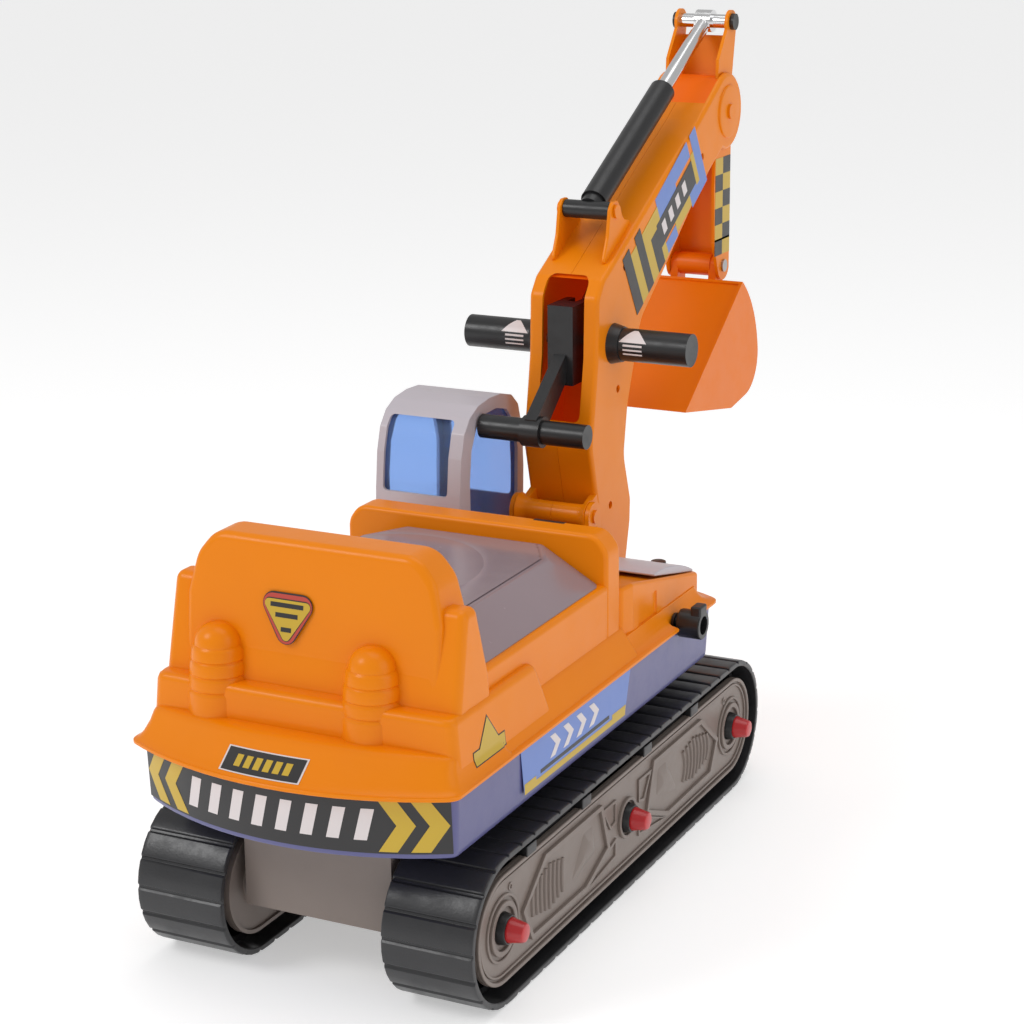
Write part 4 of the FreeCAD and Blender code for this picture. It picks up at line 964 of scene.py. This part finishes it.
side_x = 133.4
label("side_field", flat_patch(side_x, [(-184, 183), (21, 183), (9.5, 146.5), (-178, 146.5)]), "house",
      INK_BLUE)
label("side_line", flat_patch(side_x + 0.2, [(-150, 157), (-22, 157), (-22, 154), (-150, 154)]), "house",
      BLACK_PRINT_AND_SLIT_SHADE)
side_strips = flat_patch(side_x + 0.2, [(-178, 146.5), (-178, 155), (-158, 155), (-158, 151.5),
                                        (-16, 151.5), (-16, 155), (11, 155), (9.5, 146.5)])
label("side_strips", side_strips, "house", INK_YELLOW)
side_arrows = [flat_patch(side_x + 0.2, [(y, 160), (y + 9, 160), (y + 19, 169), (y + 9, 178), (y, 178),
                                         (y + 10, 169)])
               for y in (-133, -109, -85, -61)]
label("side_arrows", together(*side_arrows), "house", INK_WHITE)

shell_tree = BVHTree.FromBMesh(together(*shell_lumps))


def on_quarter(y, z, off):
    """A point on the shell's right side, a little way off the plastic."""
    hit = shell_tree.ray_cast(Vector((160, y, z)), Vector((-1, 0, 0)))[0]
    return (hit.x + off, y, z)


def side_sign(grow, off):
    """A triangle over a rectangle on the rear quarter's side, which leans in as it rises."""
    bar = sheet(lambda s, t: on_quarter(-254 - grow + (50 + 2 * grow) * s,
                                        197.5 - grow + (9.5 + 2 * grow) * t, off), 16, 6)
    tip = sheet(lambda s, t: on_quarter(-229 + (30 + 3 * grow) * (s - 0.5) * (1 - t),
                                        207 + (20 + 2 * grow) * t, off), 10, 10)
    return together(bar, tip)


label("sign_edge", side_sign(0.9, 0.15), "house", BLACK_PRINT_AND_SLIT_SHADE)
label("sign_field", side_sign(0, 0.35), "house", INK_YELLOW)

# Stripes on both boom cheeks and both stick cheeks, and marks on the two grips.


def boom_strip(start, stop, low, high, level):
    """A slanted block of the boom's label: along it, and across it from -1 to 1."""
    ends = []
    for along, side_way in ((start, low), (stop, low), (stop, high), (start, high)):
        y = 247 + 0.858 * along - 0.513 * side_way * 32
        z = 451 + 0.513 * along + 0.858 * side_way * 32
        ends.append((y, z))
    return flat_patch(level, ends, 0.25)


boom_paint = {
    INK_BLUE: [(84, 128, 0.3, 0.98), (128, 168, 0.45, 0.98), (84, 110, -0.98, -0.6), (150, 191, -0.98, -0.35),
               (176, 191, -0.35, 0.98)],
    BLACK_PRINT_AND_SLIT_SHADE: [(0, 16, -1, 1), (30, 44, -1, 1), (58, 74, -1, 0.2), (74, 168, -0.5, 0.3)],
    INK_YELLOW: [(16, 30, -1, 0.75), (44, 58, -1, 0.75), (58, 84, 0.2, 0.75), (74, 84, -1, -0.5),
                 (110, 150, -0.86, -0.5), (168, 176, -0.6, 0.45)],
    INK_WHITE: [(84 + 18 * k, 93 + 18 * k, -0.28, 0.12) for k in range(4)],
}
print_level = {INK_BLUE: 33.0, INK_YELLOW: 33.1, BLACK_PRINT_AND_SLIT_SHADE: 33.2, INK_WHITE: 33.35}
stick_paint = {
    INK_YELLOW: [(z, 464, 483) for z in (520, 488, 456)] + [(z, 483, 502) for z in (504, 472, 442)],
    BLACK_PRINT_AND_SLIT_SHADE: [(z, 464, 483) for z in (504, 472, 442)] + [(z, 483, 502) for z in (520, 488, 456)],
}
peg_angles = {"triangle": (20, 72), "bars": ((6, 13), (-9, -3), (-24, -18))}
PEG, PEG_RADIUS = (212, 408), 14.5


def on_grip(x, angle, off=0.25):
    """A point on the grip beside the boom, round it from straight behind."""
    turn = math.radians(angle)
    return (x, PEG[0] - (PEG_RADIUS + off) * math.cos(turn), PEG[1] + (PEG_RADIUS + off) * math.sin(turn))


def grip_marks():
    """The printed triangle and bars on the right grip."""
    low, high = peg_angles["triangle"]
    lumps = [sheet(lambda s, t: on_grip(57 + (s - 0.5) * 26 * (1 - t * 0.86), low + (high - low) * t),
                   12, 12)]
    for start, stop in peg_angles["bars"]:
        lumps.append(sheet(lambda s, t, start=start, stop=stop: on_grip(48 + 18 * s,
                                                                        start + (stop - start) * t), 4, 3))
    return together(*lumps)


INK_NAMES = {INK_BLUE: "blue", BLACK_PRINT_AND_SLIT_SHADE: "black", INK_YELLOW: "yellow", INK_WHITE: "white"}
for paint, blocks in boom_paint.items():
    stripes = together(*[boom_strip(*extent, print_level[paint]) for extent in blocks])
    for side, shape in sides(stripes):
        label(f"boom_label_{INK_NAMES[paint]}_{side}", shape, "boom", paint)
for paint, blocks in stick_paint.items():
    stripes = together(*[flat_patch(27.0, [(y0, z), (y1, z), (y1, z + 16), (y0, z + 16)])
                         for z, y0, y1 in blocks])
    for side, shape in sides(stripes):
        label(f"stick_label_{INK_NAMES[paint]}_{side}", shape, "stick", paint)
for side, shape in sides(grip_marks()):
    label(f"grip_marks_{side}", shape, "boom", INK_WHITE)

# ---------------------------------------------------------------- floor, light and camera
# A pale seamless floor, a large soft key from the left and two weak fills; the camera looks from the
# right rear and above.

floor_mesh = bpy.data.meshes.new("floor")
floor_mesh.from_pydata([(-30, -30, 0), (30, -30, 0), (30, 60, 0), (-30, 60, 0)], [], [(0, 1, 2, 3)])
floor = bpy.data.objects.new("floor", floor_mesh)
floor.location.z = -0.0002
floor_paint = bpy.data.materials.new("floor paint")
floor_paint.use_nodes = True
floor_shader = floor_paint.node_tree.nodes["Principled BSDF"]
floor_shader.inputs["Base Color"].default_value = (0.82, 0.82, 0.82, 1)
floor_shader.inputs["Roughness"].default_value = 0.9
floor_shader.inputs["Specular IOR Level"].default_value = 0.2
floor_shader.inputs["Emission Color"].default_value = (1, 1, 1, 1)
floor_shader.inputs["Emission Strength"].default_value = 0.42
floor_mesh.materials.append(floor_paint)
bpy.context.scene.collection.objects.link(floor)


def lamp(name, spot, target, size, power):
    """A round soft lamp aimed at a point."""
    data = bpy.data.lights.new(name, "AREA")
    data.shape = "DISK"
    data.size = size
    data.energy = power
    lamp_object = bpy.data.objects.new(name, data)
    lamp_object.location = spot
    lamp_object.rotation_euler = (Vector(target) - Vector(spot)).to_track_quat("-Z", "Y").to_euler()
    bpy.context.scene.collection.objects.link(lamp_object)


lamp("key light", (-1.5, -1.9, 2.1), (0, 0, 0.25), 1.2, 24)
lamp("right fill", (2.4, -0.4, 1.2), (0, 0, 0.25), 2.0, 9)
lamp("top fill", (0.2, 0.2, 2.6), (0, 0, 0.2), 2.0, 13)

world = bpy.data.worlds.new("studio")
world.use_nodes = True
world.node_tree.nodes["Background"].inputs["Color"].default_value = (1, 1, 1, 1)
sky = world.node_tree.nodes["Background"]
seen = add(world.node_tree, "ShaderNodeLightPath").outputs["Is Camera Ray"]
strength = add(world.node_tree, "ShaderNodeMapRange", {"Value": seen, "To Min": 0.52, "To Max": 0.86})
world.node_tree.links.new(strength.outputs["Result"], sky.inputs["Strength"])
bpy.context.scene.world = world
bpy.context.scene.view_settings.view_transform = "Standard"

AZIMUTH, ELEVATION, ROLL = math.radians(26.367), math.radians(16.190), math.radians(-0.549)
back = Vector((math.sin(AZIMUTH) * math.cos(ELEVATION), -math.cos(AZIMUTH) * math.cos(ELEVATION),
               math.sin(ELEVATION)))
across = (-back).cross(Vector((0, 0, 1))).normalized()
upright = across.cross(-back)
right_way = math.cos(ROLL) * across + math.sin(ROLL) * upright
up_way = -math.sin(ROLL) * across + math.cos(ROLL) * upright
camera_data = bpy.data.cameras.new("camera")
camera_data.sensor_width = 36
camera_data.lens = 87.17
camera = bpy.data.objects.new("camera", camera_data)
turn = (right_way, up_way, back)
for row in range(3):
    for column in range(3):
        camera.matrix_world[row][column] = turn[column][row]
camera.matrix_world.translation = at(898.23, -1737.36, 873.46)
bpy.context.scene.collection.objects.link(camera)
bpy.context.scene.camera = camera
